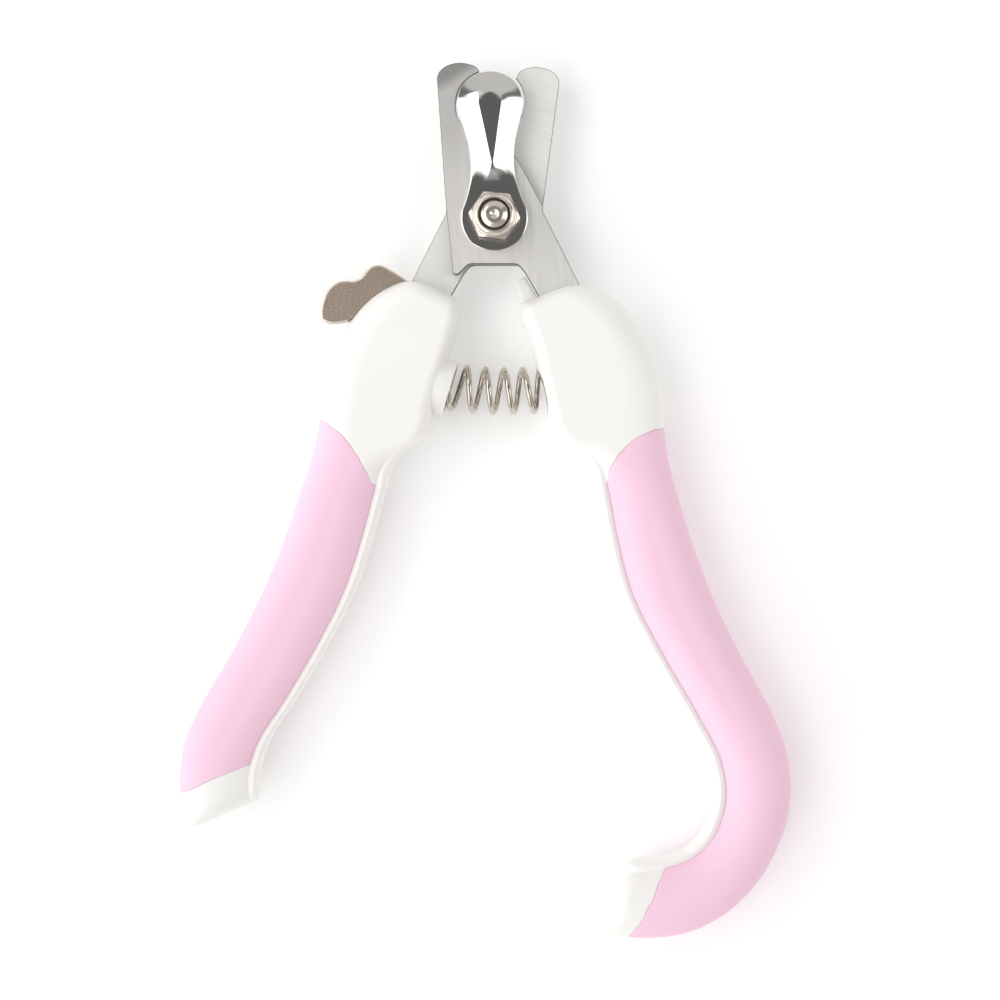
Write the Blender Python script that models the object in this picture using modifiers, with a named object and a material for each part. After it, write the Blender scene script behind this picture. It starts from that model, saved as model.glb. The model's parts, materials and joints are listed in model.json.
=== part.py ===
"""A plier-type pet nail clipper, modelled as its separate parts.

Metres, +Z up. The clipper lies flat: Z = 0 is the plane under both handles and
under the bolt's head. The origin is on the pivot axis in that plane, +Y points
to the blade tips and +X to the right-hand handle, which carries the front blade.
Outlines are written in millimetres and turned into metres by to_metres.
"""

import math

import bmesh
import bpy
from mathutils import Matrix, Vector

MM = 0.001

# Overall sizes
HANDLE_THICKNESS = 12.0 * MM
HANDLE_LENGTH = 87.4 * MM       # from the foot line down to the hook's lowest point
DRAWN_LENGTH = 87.4 * MM        # the same length in the outlines below
FOOT_LINE = -42.0 * MM          # Y below which the handles stretch with HANDLE_LENGTH

# Gaps
GAP = 0.3 * MM                  # between flat faces that touch on the real object
PIN_GAP = 0.2 * MM              # all round a pin, a shank or a ring

# Blades
BLADE_THICKNESS = 2.0 * MM
MOUTH_RADIUS = 6.2 * MM         # hollow of each cutting edge
FRONT_MOUTH = (-1.0, 20.4)      # centre of the front hollow, millimetres
REAR_MOUTH = (0.5, 21.4)        # centre of the rear hollow, before mirroring

# Pivot bolt, its washer and its lock nut
SHANK_RADIUS = 2.5 * MM
SHANK_CHAMFER = 0.5 * MM
SHANK_PROUD = 0.35 * MM         # bolt end above the nut's collar
DIMPLE_RADIUS = 0.9 * MM
DIMPLE_DEPTH = 0.5 * MM
HEAD_RADIUS = 4.8 * MM
HEAD_ROUND = 0.8 * MM
WASHER_RADIUS = 5.4 * MM
WASHER_THICKNESS = 0.8 * MM
NUT_WALL = 1.3 * MM             # between the bore and the flats
NUT_HEX_HEIGHT = 3.2 * MM
NUT_CROWN = 0.35 * MM           # taken off the corners at the top
NUT_TURN = math.radians(-4.0)
COLLAR_WALL = 0.4 * MM
COLLAR_HEIGHT = 1.5 * MM
INSERT_WALL = 0.4 * MM
INSERT_HEIGHT = 1.6 * MM
INSERT_DROP = 0.2 * MM          # insert's top below the collar's rim

# Safety guard
GUARD_THICKNESS = 1.2 * MM
GUARD_LEAN = math.radians(2.2)  # it rests a little to the left
GUARD_RIM = 0.9 * MM            # flat rim round the pressed roof

# Handles
EDGE_ROUND = 2.0 * MM
GRIP_WALL = 1.6 * MM
GRIP_OVERSHOOT = 6.0 * MM       # cutters reach this far past the outer side
LIP_COVER = 0.8 * MM            # hard plastic between the web and the handle's inner face
TONGUE_LOW = 2.2 * MM           # underside of the small tongue beside the right tang
TANG_PIN_RADIUS = 1.25 * MM
PIN_SKIN = 1.9 * MM             # plastic left over each blind pin
TANG_PINS = {"upper": (18.7, -28.4), "lower": (21.3, -37.6)}

# Return spring
SPRING_OUTER = 8.8 * MM
SPRING_WIRE = 1.0 * MM
SPRING_COILS = 7.3
SPRING_LEFT = Vector((-12.3, -29.9, 0.0)) * MM
SPRING_RIGHT = Vector((12.2, -31.2, 0.0)) * MM
SPRING_ROOM = 0.25 * MM         # pocket wall off the coils
CUP_WALL = 0.65 * MM
CUP_RIM = 3.9 * MM              # cup's rim in front of the spring's seat
CUP_ROOT = 1.5 * MM             # cup's root behind the seat
POINTS_PER_COIL = 14

# Lock lever
LEVER_PIN = (-13.9, -16.9)      # millimetres
LEVER_PIN_RADIUS = 1.5 * MM
LEVER_HUB = 3.4 * MM
LEVER_WASHER_RADIUS = 3.0 * MM
LEVER_WASHER_THICKNESS = 0.5 * MM
SLOT_REACH = 26.0 * MM
SLOT_END = math.radians(62.0)   # how far round the slot opens for the turned lever

ROUND = 48                      # sides of a round piece

# Heights of the stack on the pivot, all measured from the two handles' mid-plane
MID = HANDLE_THICKNESS / 2
REAR_TOP = MID - GAP / 2
REAR_LOW = REAR_TOP - BLADE_THICKNESS
FRONT_LOW = MID + GAP / 2
FRONT_TOP = FRONT_LOW + BLADE_THICKNESS
WASHER_TOP = REAR_LOW - GAP
WASHER_LOW = WASHER_TOP - WASHER_THICKNESS
HEAD_TOP = WASHER_LOW - GAP
GUARD_LOW = FRONT_TOP + GAP
NUT_LOW = GUARD_LOW + GUARD_THICKNESS + GAP
NUT_HEX_TOP = NUT_LOW + NUT_HEX_HEIGHT
NUT_TOP = NUT_HEX_TOP + COLLAR_HEIGHT
BOLT_TOP = NUT_TOP + SHANK_PROUD
BORE_RADIUS = SHANK_RADIUS + PIN_GAP
SEAT_RADIUS = BORE_RADIUS + INSERT_WALL + PIN_GAP
COLLAR_RADIUS = SEAT_RADIUS + COLLAR_WALL
NUT_ACROSS_FLATS = 2 * (BORE_RADIUS + NUT_WALL)

# Outlines of the handles, millimetres, running from the head down
LEFT_TOP = [(-7.4, -14.9), (-10.8, -12.2), (-14.9, -10.9)]
LEFT_SHOULDER = [(-14.9, -10.9), (-20.0, -12.9), (-25.2, -17.5), (-28.5, -22.5), (-30.4, -29.0),
                 (-31.4, -36.0)]
LEFT_OUTER = [(-31.4, -36.0), (-32.8, -42.6), (-36.5, -53.7), (-42.3, -68.5), (-47.5, -78.5), (-52.8, -87.2),
              (-55.9, -94.8), (-56.6, -101.9)]
LEFT_END = [(-56.6, -101.9), (-56.2, -106.0), (-54.6, -108.6), (-52.0, -108.8), (-43.4, -104.3),
            (-41.9, -102.4)]
LEFT_INNER = [(-41.9, -102.4), (-41.7, -96.4), (-34.9, -85.4), (-26.4, -70.6), (-21.7, -57.4),
              (-19.3, -47.9), (-18.2, -44.4), (-15.8, -42.0)]
LEFT_FOOT = [(-15.8, -42.0), (-13.0, -40.2), (-11.6, -36.6), (-10.2, -30.0), (-8.6, -24.0), (-7.5, -18.4),
             (-7.4, -14.9)]
RIGHT_TOP = [(5.6, -15.4), (8.9, -13.1), (14.9, -11.3)]
RIGHT_SHOULDER = [(14.9, -11.3), (19.6, -13.0), (25.2, -18.4), (28.4, -23.6), (30.0, -29.6), (30.4, -37.5)]
RIGHT_OUTER = [(30.4, -37.5), (31.3, -43.8), (33.6, -52.4), (39.9, -69.5), (48.5, -86.0), (52.7, -95.9),
               (53.3, -104.5), (50.3, -114.6), (44.5, -122.3), (36.6, -127.6), (28.4, -129.4)]
RIGHT_END = [(28.4, -129.4), (20.6, -129.1), (18.2, -127.4), (18.4, -124.2), (21.7, -117.1), (24.3, -115.1)]
RIGHT_INNER = [(24.3, -115.1), (29.6, -114.8), (35.9, -111.8), (39.2, -104.5), (38.2, -96.6), (32.0, -85.4),
               (24.0, -70.9), (20.4, -60.0), (18.4, -49.1), (17.3, -44.9), (14.9, -41.9)]
RIGHT_FOOT = [(14.9, -41.9), (12.0, -40.4), (10.5, -37.0), (8.7, -30.6), (6.9, -22.9), (5.3, -18.0),
              (5.6, -15.4)]

# Edges of the soft grips where they meet the hard plastic, millimetres
LEFT_GRIP_TOP = [(-31.6, -35.7), (-27.0, -38.9), (-24.3, -42.6), (-22.2, -47.0)]
LEFT_GRIP_INNER = [(-22.2, -47.0), (-22.5, -52.1), (-26.4, -63.2), (-32.2, -76.4), (-40.1, -91.2),
                   (-45.2, -98.3)]
LEFT_GRIP_END = [(-45.2, -98.3), (-48.9, -99.6), (-56.6, -103.1)]
RIGHT_GRIP_TOP = [(30.3, -37.7), (24.7, -39.8), (20.6, -44.6), (19.9, -48.4)]
RIGHT_GRIP_INNER = [(19.9, -48.4), (20.9, -56.0), (25.0, -68.2), (32.0, -82.1), (38.6, -94.0),
                    (41.0, -103.9), (38.6, -111.1), (32.0, -115.9)]
RIGHT_GRIP_END = [(32.0, -115.9), (29.3, -118.4), (27.3, -123.0), (24.0, -129.2)]

# Blade outline, drawn for the front blade: jaw on the left, tang on the right, millimetres
FRONT_JAW = [(-8.6, 1.4), (-10.3, 25.1), (-9.3, 26.9), (-6.1, 27.9), (-3.2, 27.1), (-2.7, 26.4)]
REAR_JAW = [(-8.7, 2.2), (-11.7, 24.8), (-11.1, 26.0), (-9.7, 27.1), (-7.7, 27.5), (-5.8, 27.3),
            (-4.5, 26.6), (-4.05, 25.8)]
FRONT_MOUTH_SPAN = (106.5, 272.0)
REAR_MOUTH_SPAN = (137.0, 285.0)
BLADE_FLANK = [(4.05, 10.8), (8.7, 2.2), (8.7, 1.2), (14.75, -10.9)]
TANG = [(18.7, -18.5), (21.6, -27.0), (23.7, -35.0), (24.0, -38.6), (22.9, -40.8), (20.6, -40.8),
        (18.9, -38.6), (17.6, -34.0), (15.2, -27.0), (11.5, -20.0)]
BLADE_ARCH = [(7.9, -13.8), (5.65, -9.9), (4.8, -8.8), (3.6, -8.1), (-4.2, -8.1), (-4.95, -8.45),
              (-6.4, -9.9), (-7.4, -9.9)]
TANG_MOUTH = [(13.8, -9.0), (5.2, -9.0)]        # where the tang's pocket opens above the handle
TONGUE = [(3.6, -11.0), (5.5, -10.3), (9.6, -17.0), (6.4, -18.0)]

# The lock lever's tab outside the handle, millimetres, from its lower to its upper root
LEVER_TAB = [(-25.7, -17.9), (-26.4, -18.5), (-30.5, -18.4), (-31.1, -17.0), (-30.7, -14.3),
             (-29.1, -11.8), (-26.8, -11.1), (-24.3, -10.9), (-23.1, -9.5), (-21.3, -8.3), (-19.7, -8.6),
             (-16.3, -10.6)]

LEVER_EDGE_ROOM = [(-26.5, -19.5), (-34.0, -19.5), (-38.0, -18.0)]    # slot below the lever at rest

# Half the guard's width along it, and how far its roof and the roof's flat stand, millimetres
GUARD_SHAPE = [
    # y, half width, roof height, half width of the roof's flat
    (3.0, 5.2, 0.0, 2.6),
    (5.0, 4.55, 0.0, 1.9),
    (7.8, 4.0, 0.15, 0.9),
    (10.4, 3.9, 0.5, 0.3),
    (13.0, 4.15, 0.9, 0.75),
    (15.5, 4.75, 1.3, 1.2),
    (18.0, 5.45, 1.7, 1.7),
    (20.5, 6.05, 2.1, 2.15),
    (21.7, 5.95, 2.2, 2.3),
    (23.0, 5.5, 1.7, 2.2),
    (24.5, 4.4, 0.9, 1.8),
    (25.7, 2.8, 0.25, 1.2),
    (26.4, 1.0, 0.0, 0.4),
]
GUARD_PAD = 6.0                 # radius of the pad on the pivot, millimetres


# ------------------------------------------------------------------ scene and materials

def clear_scene():
    for obj in list(bpy.data.objects):
        bpy.data.objects.remove(obj, do_unlink=True)


def new_collection(name):
    collection = bpy.data.collections.new(name)
    bpy.context.scene.collection.children.link(collection)
    return collection


clear_scene()
PARTS = new_collection("pet_nail_clipper")
CUTTERS = new_collection("cutters")


def material(name, color, roughness, metallic=0.0):
    made = bpy.data.materials.new(name)
    made.use_nodes = True
    shader = made.node_tree.nodes["Principled BSDF"]
    shader.inputs["Base Color"].default_value = (*color, 1.0)
    shader.inputs["Roughness"].default_value = roughness
    shader.inputs["Metallic"].default_value = metallic
    return made


BLADE_STEEL = material("blade_steel", (0.62, 0.61, 0.60), 0.35, 1.0)
POLISHED_STEEL = material("polished_steel", (0.74, 0.73, 0.72), 0.12, 1.0)
NICKEL = material("nickel", (0.66, 0.60, 0.53), 0.2, 1.0)
WHITE_PLASTIC = material("white_plastic", (0.93, 0.92, 0.89), 0.35)
PINK_RUBBER = material("pink_rubber", (0.95, 0.62, 0.74), 0.55)
NYLON = material("nylon", (0.12, 0.11, 0.10), 0.6)


# ------------------------------------------------------------------ outlines

def to_metres(points):
    """Millimetres to metres, with the handles stretched below the foot line."""
    stretched = []
    for x, y in points:
        x, y = x * MM, y * MM
        if y < FOOT_LINE:
            y = FOOT_LINE + (y - FOOT_LINE) * HANDLE_LENGTH / DRAWN_LENGTH
        stretched.append((x, y))
    return stretched


def smooth(points, steps=3):
    """A smooth run through the points, ends included."""
    knots = [0.0]
    for a, b in zip(points, points[1:]):
        knots.append(knots[-1] + math.dist(a, b))
    tangents = []
    for i in range(len(points)):
        low, high = max(i - 1, 0), min(i + 1, len(points) - 1)
        span = knots[high] - knots[low]
        tangents.append([(points[high][k] - points[low][k]) / span for k in (0, 1)])
    run = []
    for i in range(len(points) - 1):
        span = knots[i + 1] - knots[i]
        for step in range(steps):
            t = step / steps
            run.append(tuple(
                (2 * t**3 - 3 * t**2 + 1) * points[i][k]
                + (t**3 - 2 * t**2 + t) * span * tangents[i][k]
                + (3 * t**2 - 2 * t**3) * points[i + 1][k]
                + (t**3 - t**2) * span * tangents[i + 1][k]
                for k in (0, 1)
            ))
    return run + [tuple(points[-1])]


def join_runs(*runs):
    """One closed outline from runs that meet end to end, each meeting point kept once."""
    outline = []
    for run in runs:
        for point in run:
            if not outline or math.dist(point, outline[-1]) > 0.01 * MM:
                outline.append(point)
    if math.dist(outline[0], outline[-1]) < 0.01 * MM:
        outline.pop()
    return outline


def offset_run(run, distance):
    """The run moved sideways by distance, to the left of its direction."""
    moved = []
    for i, (x, y) in enumerate(run):
        before, after = run[max(i - 1, 0)], run[min(i + 1, len(run) - 1)]
        dx, dy = after[0] - before[0], after[1] - before[1]
        length = math.hypot(dx, dy)
        moved.append((x - dy / length * distance, y + dx / length * distance))
    return moved


def offset_outline(outline, distance):
    """A closed outline moved outward by distance, one for all points or one each, with mitred corners."""
    distances = distance if isinstance(distance, list) else [distance] * len(outline)
    area = sum(a[0] * b[1] - b[0] * a[1] for a, b in zip(outline, outline[1:] + outline[:1]))
    side = -1.0 if area > 0 else 1.0
    moved = []
    for i, point in enumerate(outline):
        before = Vector(outline[i - 1])
        after = Vector(outline[(i + 1) % len(outline)])
        here = Vector(point)
        one, two = (here - before).normalized(), (after - here).normalized()
        normal = Vector((-(one.y + two.y), one.x + two.x)).normalized() * side
        mitre = max(normal.dot(Vector((-one.y, one.x)) * side), 0.5)
        moved.append(tuple(here + normal * distances[i] / mitre))
    return moved


def arc(centre, radius, start, end, count):
    """Points on an arc, angles in degrees."""
    points = []
    for i in range(count + 1):
        angle = math.radians(start + (end - start) * i / count)
        points.append((centre[0] + radius * math.cos(angle), centre[1] + radius * math.sin(angle)))
    return points


# ------------------------------------------------------------------ solids

def finish(obj, surface, collection, crease=40.0):
    collection.objects.link(obj)
    if surface:
        obj.data.materials.clear()
        obj.data.materials.append(surface)
    else:
        obj.hide_render = True
        obj.display_type = "WIRE"
    obj.data.shade_smooth()
    obj.data.set_sharp_from_angle(angle=math.radians(crease))
    return obj


def mesh_of(obj):
    """The evaluated mesh of a curve or of an object with modifiers, welded."""
    bpy.context.scene.collection.objects.link(obj)
    bpy.context.view_layer.update()
    evaluated = obj.evaluated_get(bpy.context.evaluated_depsgraph_get())
    mesh = bpy.data.meshes.new_from_object(evaluated)
    mesh.transform(obj.matrix_world)
    bpy.data.objects.remove(obj, do_unlink=True)
    shell = bmesh.new()
    shell.from_mesh(mesh)
    bmesh.ops.remove_doubles(shell, verts=shell.verts, dist=0.002 * MM)
    bmesh.ops.dissolve_degenerate(shell, edges=shell.edges, dist=0.002 * MM)
    bmesh.ops.recalc_face_normals(shell, faces=shell.faces)
    shell.to_mesh(mesh)
    shell.free()
    return mesh


def slab(name, outline, low, high, edge=0.0, surface=None, steps=1):
    """A flat outline from low to high, with its rims rounded by edge."""
    curve = bpy.data.curves.new(name, "CURVE")
    curve.dimensions = "2D"
    curve.fill_mode = "BOTH"
    spline = curve.splines.new("POLY")
    spline.points.add(len(outline) - 1)
    for point, (x, y) in zip(spline.points, outline):
        point.co = (x, y, 0.0, 1.0)
    spline.use_cyclic_u = True
    curve.extrude = (high - low) / 2 - edge
    if edge:
        curve.bevel_depth = edge
        curve.bevel_resolution = steps
        curve.offset = -edge
    shape = bpy.data.objects.new(name, curve)
    shape.location.z = (low + high) / 2
    return finish(bpy.data.objects.new(name, mesh_of(shape)), surface, PARTS if surface else CUTTERS)


def turned(name, profile, surface=None, centre=(0.0, 0.0)):
    """A turned piece from a profile of (radius, z), running down its outer side."""
    mesh = bpy.data.meshes.new(name)
    shell = bmesh.new()
    verts = [shell.verts.new((radius, 0.0, z)) for radius, z in profile]
    for a, b in zip(verts, verts[1:]):
        shell.edges.new((a, b))
    if profile[0][0] > 0.0:
        shell.edges.new((verts[-1], verts[0]))
    shell.to_mesh(mesh)
    shell.free()
    shape = bpy.data.objects.new(name, mesh)
    screw = shape.modifiers.new("turn", "SCREW")
    screw.steps = screw.render_steps = ROUND
    screw.use_merge_vertices = True
    screw.merge_threshold = 0.002 * MM
    shape.location = (*centre, 0.0)
    return finish(bpy.data.objects.new(name, mesh_of(shape)), surface, PARTS if surface else CUTTERS)


def disc(name, radius, low, high, surface=None, centre=(0.0, 0.0)):
    return turned(name, [(0.0, high), (radius, high), (radius, low), (0.0, low)], surface, centre)


def ring(name, outer, inner, low, high, surface=None, centre=(0.0, 0.0)):
    return turned(name, [(inner, high), (outer, high), (outer, low), (inner, low)], surface, centre)


def boolean(obj, tool, operation="DIFFERENCE"):
    modifier = obj.modifiers.new(tool.name, "BOOLEAN")
    modifier.operation = operation
    modifier.solver = "EXACT"
    modifier.object = tool
    return obj


def in_metres(point):
    return (point[0] * MM, point[1] * MM)


def mirrored(points):
    return [(-x, y) for x, y in points]


# ------------------------------------------------------------------ blades

def blade_outline(jaw, mouth, span):
    """A blade with its jaw on the left and its tang on the right."""
    hollow = arc(in_metres(mouth), MOUTH_RADIUS, *span, 16)
    tang = smooth([BLADE_FLANK[-1]] + TANG + [BLADE_ARCH[0]], 2)
    return join_runs(to_metres(jaw), hollow, to_metres(BLADE_FLANK), to_metres(tang), to_metres(BLADE_ARCH))


FRONT_OUTLINE = blade_outline(FRONT_JAW, FRONT_MOUTH, FRONT_MOUTH_SPAN)
REAR_OUTLINE = mirrored(blade_outline(REAR_JAW, REAR_MOUTH, REAR_MOUTH_SPAN))


def tang_pin_place(side, which):
    x, y = in_metres(TANG_PINS[which])
    return (side * x, y)


def build_blades():
    pivot_hole = disc("pivot_hole", BORE_RADIUS, -MID, 2 * HANDLE_THICKNESS)
    for name, outline, low, side in (
        ("front_blade", FRONT_OUTLINE, FRONT_LOW, 1.0),
        ("rear_blade", REAR_OUTLINE, REAR_LOW, -1.0),
    ):
        blade = slab(name, outline, low, low + BLADE_THICKNESS, surface=BLADE_STEEL)
        boolean(blade, pivot_hole)
        for which in TANG_PINS:
            boolean(blade, disc(f"{name}_{which}_hole", TANG_PIN_RADIUS + PIN_GAP, 0.0, HANDLE_THICKNESS,
                                centre=tang_pin_place(side, which)))
    boolean(bpy.data.objects["rear_blade"],
            disc("lever_pin_hole", LEVER_PIN_RADIUS + PIN_GAP, 0.0, MID, centre=in_metres(LEVER_PIN)))


# ------------------------------------------------------------------ pivot and guard

def build_pivot():
    turned("pivot_bolt", [
        (0.0, BOLT_TOP - DIMPLE_DEPTH),
        (DIMPLE_RADIUS, BOLT_TOP),
        (SHANK_RADIUS - SHANK_CHAMFER, BOLT_TOP),
        (SHANK_RADIUS, BOLT_TOP - SHANK_CHAMFER),
        (SHANK_RADIUS, HEAD_TOP),
        (HEAD_RADIUS, HEAD_TOP),
        (HEAD_RADIUS, HEAD_ROUND),
        (HEAD_RADIUS - HEAD_ROUND, 0.0),
        (0.0, 0.0),
    ], NICKEL)
    ring("head_washer", WASHER_RADIUS, BORE_RADIUS, WASHER_LOW, WASHER_TOP, NICKEL)

    insert_top = NUT_TOP - INSERT_DROP
    ring("nut_insert", BORE_RADIUS + INSERT_WALL, BORE_RADIUS, insert_top - INSERT_HEIGHT, insert_top, NYLON)

    corner = NUT_ACROSS_FLATS / 2 / math.cos(math.radians(30))
    hexagon = [(corner * math.cos(NUT_TURN + i * math.pi / 3), corner * math.sin(NUT_TURN + i * math.pi / 3))
               for i in range(6)]
    nut = slab("pivot_nut", hexagon, NUT_LOW, NUT_HEX_TOP, surface=NICKEL)
    crown = corner - NUT_CROWN
    outside = corner + NUT_CROWN
    boolean(nut, turned("nut_corners", [
        (0.0, NUT_HEX_TOP + GAP),
        (crown - GAP, NUT_HEX_TOP + GAP),
        (outside, NUT_HEX_TOP - 2 * NUT_CROWN),
        (outside, NUT_LOW - GAP),
        (0.0, NUT_LOW - GAP),
    ]), "INTERSECT")
    boolean(nut, disc("nut_collar", COLLAR_RADIUS, NUT_LOW + GAP, NUT_TOP), "UNION")
    boolean(nut, disc("nut_bore", BORE_RADIUS, NUT_LOW - GAP, NUT_TOP + GAP))
    boolean(nut, disc("nut_seat", SEAT_RADIUS, insert_top - INSERT_HEIGHT - GAP, NUT_TOP + GAP))


def guard_rows():
    """Rows across the guard: y, half width, roof height and half width of the flat."""
    rows = []
    for angle in range(-80, 50, 10):
        y = GUARD_PAD * math.sin(math.radians(angle))
        if y < GUARD_SHAPE[0][0] - 0.5:
            half = GUARD_PAD * math.cos(math.radians(angle))
            rows.append((y, half, 0.0, half / 2))
    return rows + GUARD_SHAPE


def build_guard():
    """A pressed sheet: six points across each row, its roof raised between the rims."""
    mesh = bpy.data.meshes.new("safety_guard")
    shell = bmesh.new()
    rows = []
    for y, half, height, flat in guard_rows():
        rim = max(half - GUARD_RIM / MM, flat + 0.15)
        rim = min(rim, half - 0.12)
        flat = min(flat, rim - 0.12)
        rows.append([
            shell.verts.new((x * MM, y * MM, z * MM))
            for x, z in ((-half, 0.0), (-rim, 0.0), (-flat, height), (flat, height), (rim, 0.0), (half, 0.0))
        ])
    for row, following in zip(rows, rows[1:]):
        for i in range(5):
            shell.faces.new((row[i], row[i + 1], following[i + 1], following[i]))
    shell.to_mesh(mesh)
    shell.free()
    shape = bpy.data.objects.new("safety_guard", mesh)
    sheet = shape.modifiers.new("sheet", "SOLIDIFY")
    sheet.thickness = GUARD_THICKNESS
    sheet.offset = 1.0
    shape.location.z = GUARD_LOW
    shape.rotation_euler.z = GUARD_LEAN
    guard = finish(bpy.data.objects.new("safety_guard", mesh_of(shape)), POLISHED_STEEL, PARTS, 20.0)
    boolean(guard, disc("guard_hole", BORE_RADIUS, GUARD_LOW - GAP, NUT_LOW + GAP))


# ------------------------------------------------------------------ spring

def spring_frame():
    """Origin at the spring's left end, Z along it to the right end."""
    along = SPRING_RIGHT - SPRING_LEFT
    turn = along.to_track_quat("Z", "Y").to_matrix().to_4x4()
    return Matrix.Translation(SPRING_LEFT + Vector((0.0, 0.0, MID))) @ turn, along.length


def build_spring():
    frame, length = spring_frame()
    radius = (SPRING_OUTER - SPRING_WIRE) / 2
    count = round(SPRING_COILS * POINTS_PER_COIL)
    curve = bpy.data.curves.new("return_spring", "CURVE")
    curve.dimensions = "3D"
    curve.bevel_depth = SPRING_WIRE / 2
    curve.bevel_resolution = 2
    curve.use_fill_caps = True
    spline = curve.splines.new("POLY")
    spline.points.add(count)
    for i, point in enumerate(spline.points):
        turn = 2 * math.pi * i / POINTS_PER_COIL
        height = SPRING_WIRE / 2 + (length - SPRING_WIRE) * i / count
        point.co = (radius * math.cos(turn), radius * math.sin(turn), height, 1.0)
    shape = bpy.data.objects.new("return_spring", curve)
    shape.matrix_world = frame
    finish(bpy.data.objects.new("return_spring", mesh_of(shape)), NICKEL, PARTS)


def along_spring(name, radius, start, end):
    """A round cutter on the spring's axis, from start to end along it."""
    frame, _ = spring_frame()
    tool = turned(name, [(0.0, end), (radius, end), (radius, start), (0.0, start)])
    tool.data.transform(frame)
    return tool


# ------------------------------------------------------------------ handles

LEFT_BODY = join_runs(*(smooth(to_metres(run)) for run in
                        (LEFT_TOP, LEFT_SHOULDER, LEFT_OUTER, LEFT_END, LEFT_INNER, LEFT_FOOT)))
RIGHT_BODY = join_runs(*(smooth(to_metres(run)) for run in
                         (RIGHT_TOP, RIGHT_SHOULDER, RIGHT_OUTER, RIGHT_END, RIGHT_INNER, RIGHT_FOOT)))


HANDLES = {
    "left": {
        "side": -1.0, "body": LEFT_BODY, "outer": LEFT_OUTER,
        "faces": (LEFT_SHOULDER, LEFT_OUTER, LEFT_END),
        "grip": (LEFT_GRIP_TOP, LEFT_GRIP_INNER, LEFT_GRIP_END),
    },
    "right": {
        "side": 1.0, "body": RIGHT_BODY, "outer": RIGHT_OUTER,
        "faces": (RIGHT_SHOULDER, RIGHT_OUTER, RIGHT_END),
        "grip": (RIGHT_GRIP_TOP, RIGHT_GRIP_INNER, RIGHT_GRIP_END),
    },
}


def reach_past(inside, end, distance):
    """The point that lies distance beyond end, on the line from inside to end."""
    step = distance / math.dist(inside, end)
    return (end[0] + (end[0] - inside[0]) * step, end[1] + (end[1] - inside[1]) * step)


def grip_plan(name, handle, gap):
    """The plan of a grip at full height: its edge on the hard plastic, moved by gap, and a line outside."""
    edge = join_runs(*(smooth(to_metres(run)) for run in handle["grip"]))
    edge = offset_run(edge, -handle["side"] * gap)
    outside = offset_run(smooth(to_metres(handle["outer"])), handle["side"] * GRIP_OVERSHOOT)
    start = reach_past(edge[1], edge[0], GRIP_OVERSHOOT)
    end = reach_past(edge[-2], edge[-1], GRIP_OVERSHOOT)
    outline = join_runs([start], edge, [end], outside[::-1])
    return slab(f"{name}_grip_plan", outline, -GAP, HANDLE_THICKNESS + GAP)


def grip_web(name, handle, gap):
    """The hard web that a grip wraps round: the handle less the grip's wall on its outer faces."""
    outer_points = {point for run in handle["faces"] for point in smooth(to_metres(run))}
    depth = [GRIP_WALL + gap if point in outer_points else LIP_COVER for point in handle["body"]]
    outline = offset_outline(handle["body"], [-d for d in depth])
    return slab(f"{name}_web", outline, GRIP_WALL + gap, HANDLE_THICKNESS - GRIP_WALL - gap)


def tang_pocket(side):
    """The plan of a tang inside its handle, open past the handle's top edge."""
    tang = to_metres(smooth([BLADE_FLANK[-1]] + TANG + [BLADE_ARCH[0]], 2))
    outline = join_runs([in_metres(TANG_MOUTH[0])], tang, [in_metres(TANG_MOUTH[1])])
    return offset_outline([(side * x, y) for x, y in outline], GAP)


def lever_slot():
    """The plan that the lever sweeps: round its hub, along its lower edge at rest, then a sector."""
    centre = in_metres(LEVER_PIN)
    hub = LEVER_HUB + PIN_GAP + GAP
    reach = math.degrees(SLOT_END)
    return join_runs(
        arc(centre, hub, reach - 90.0, -95.0, 8),
        [in_metres(point) for point in LEVER_EDGE_ROOM],
        arc(centre, SLOT_REACH, 175.0, reach, 10),
    )


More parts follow.
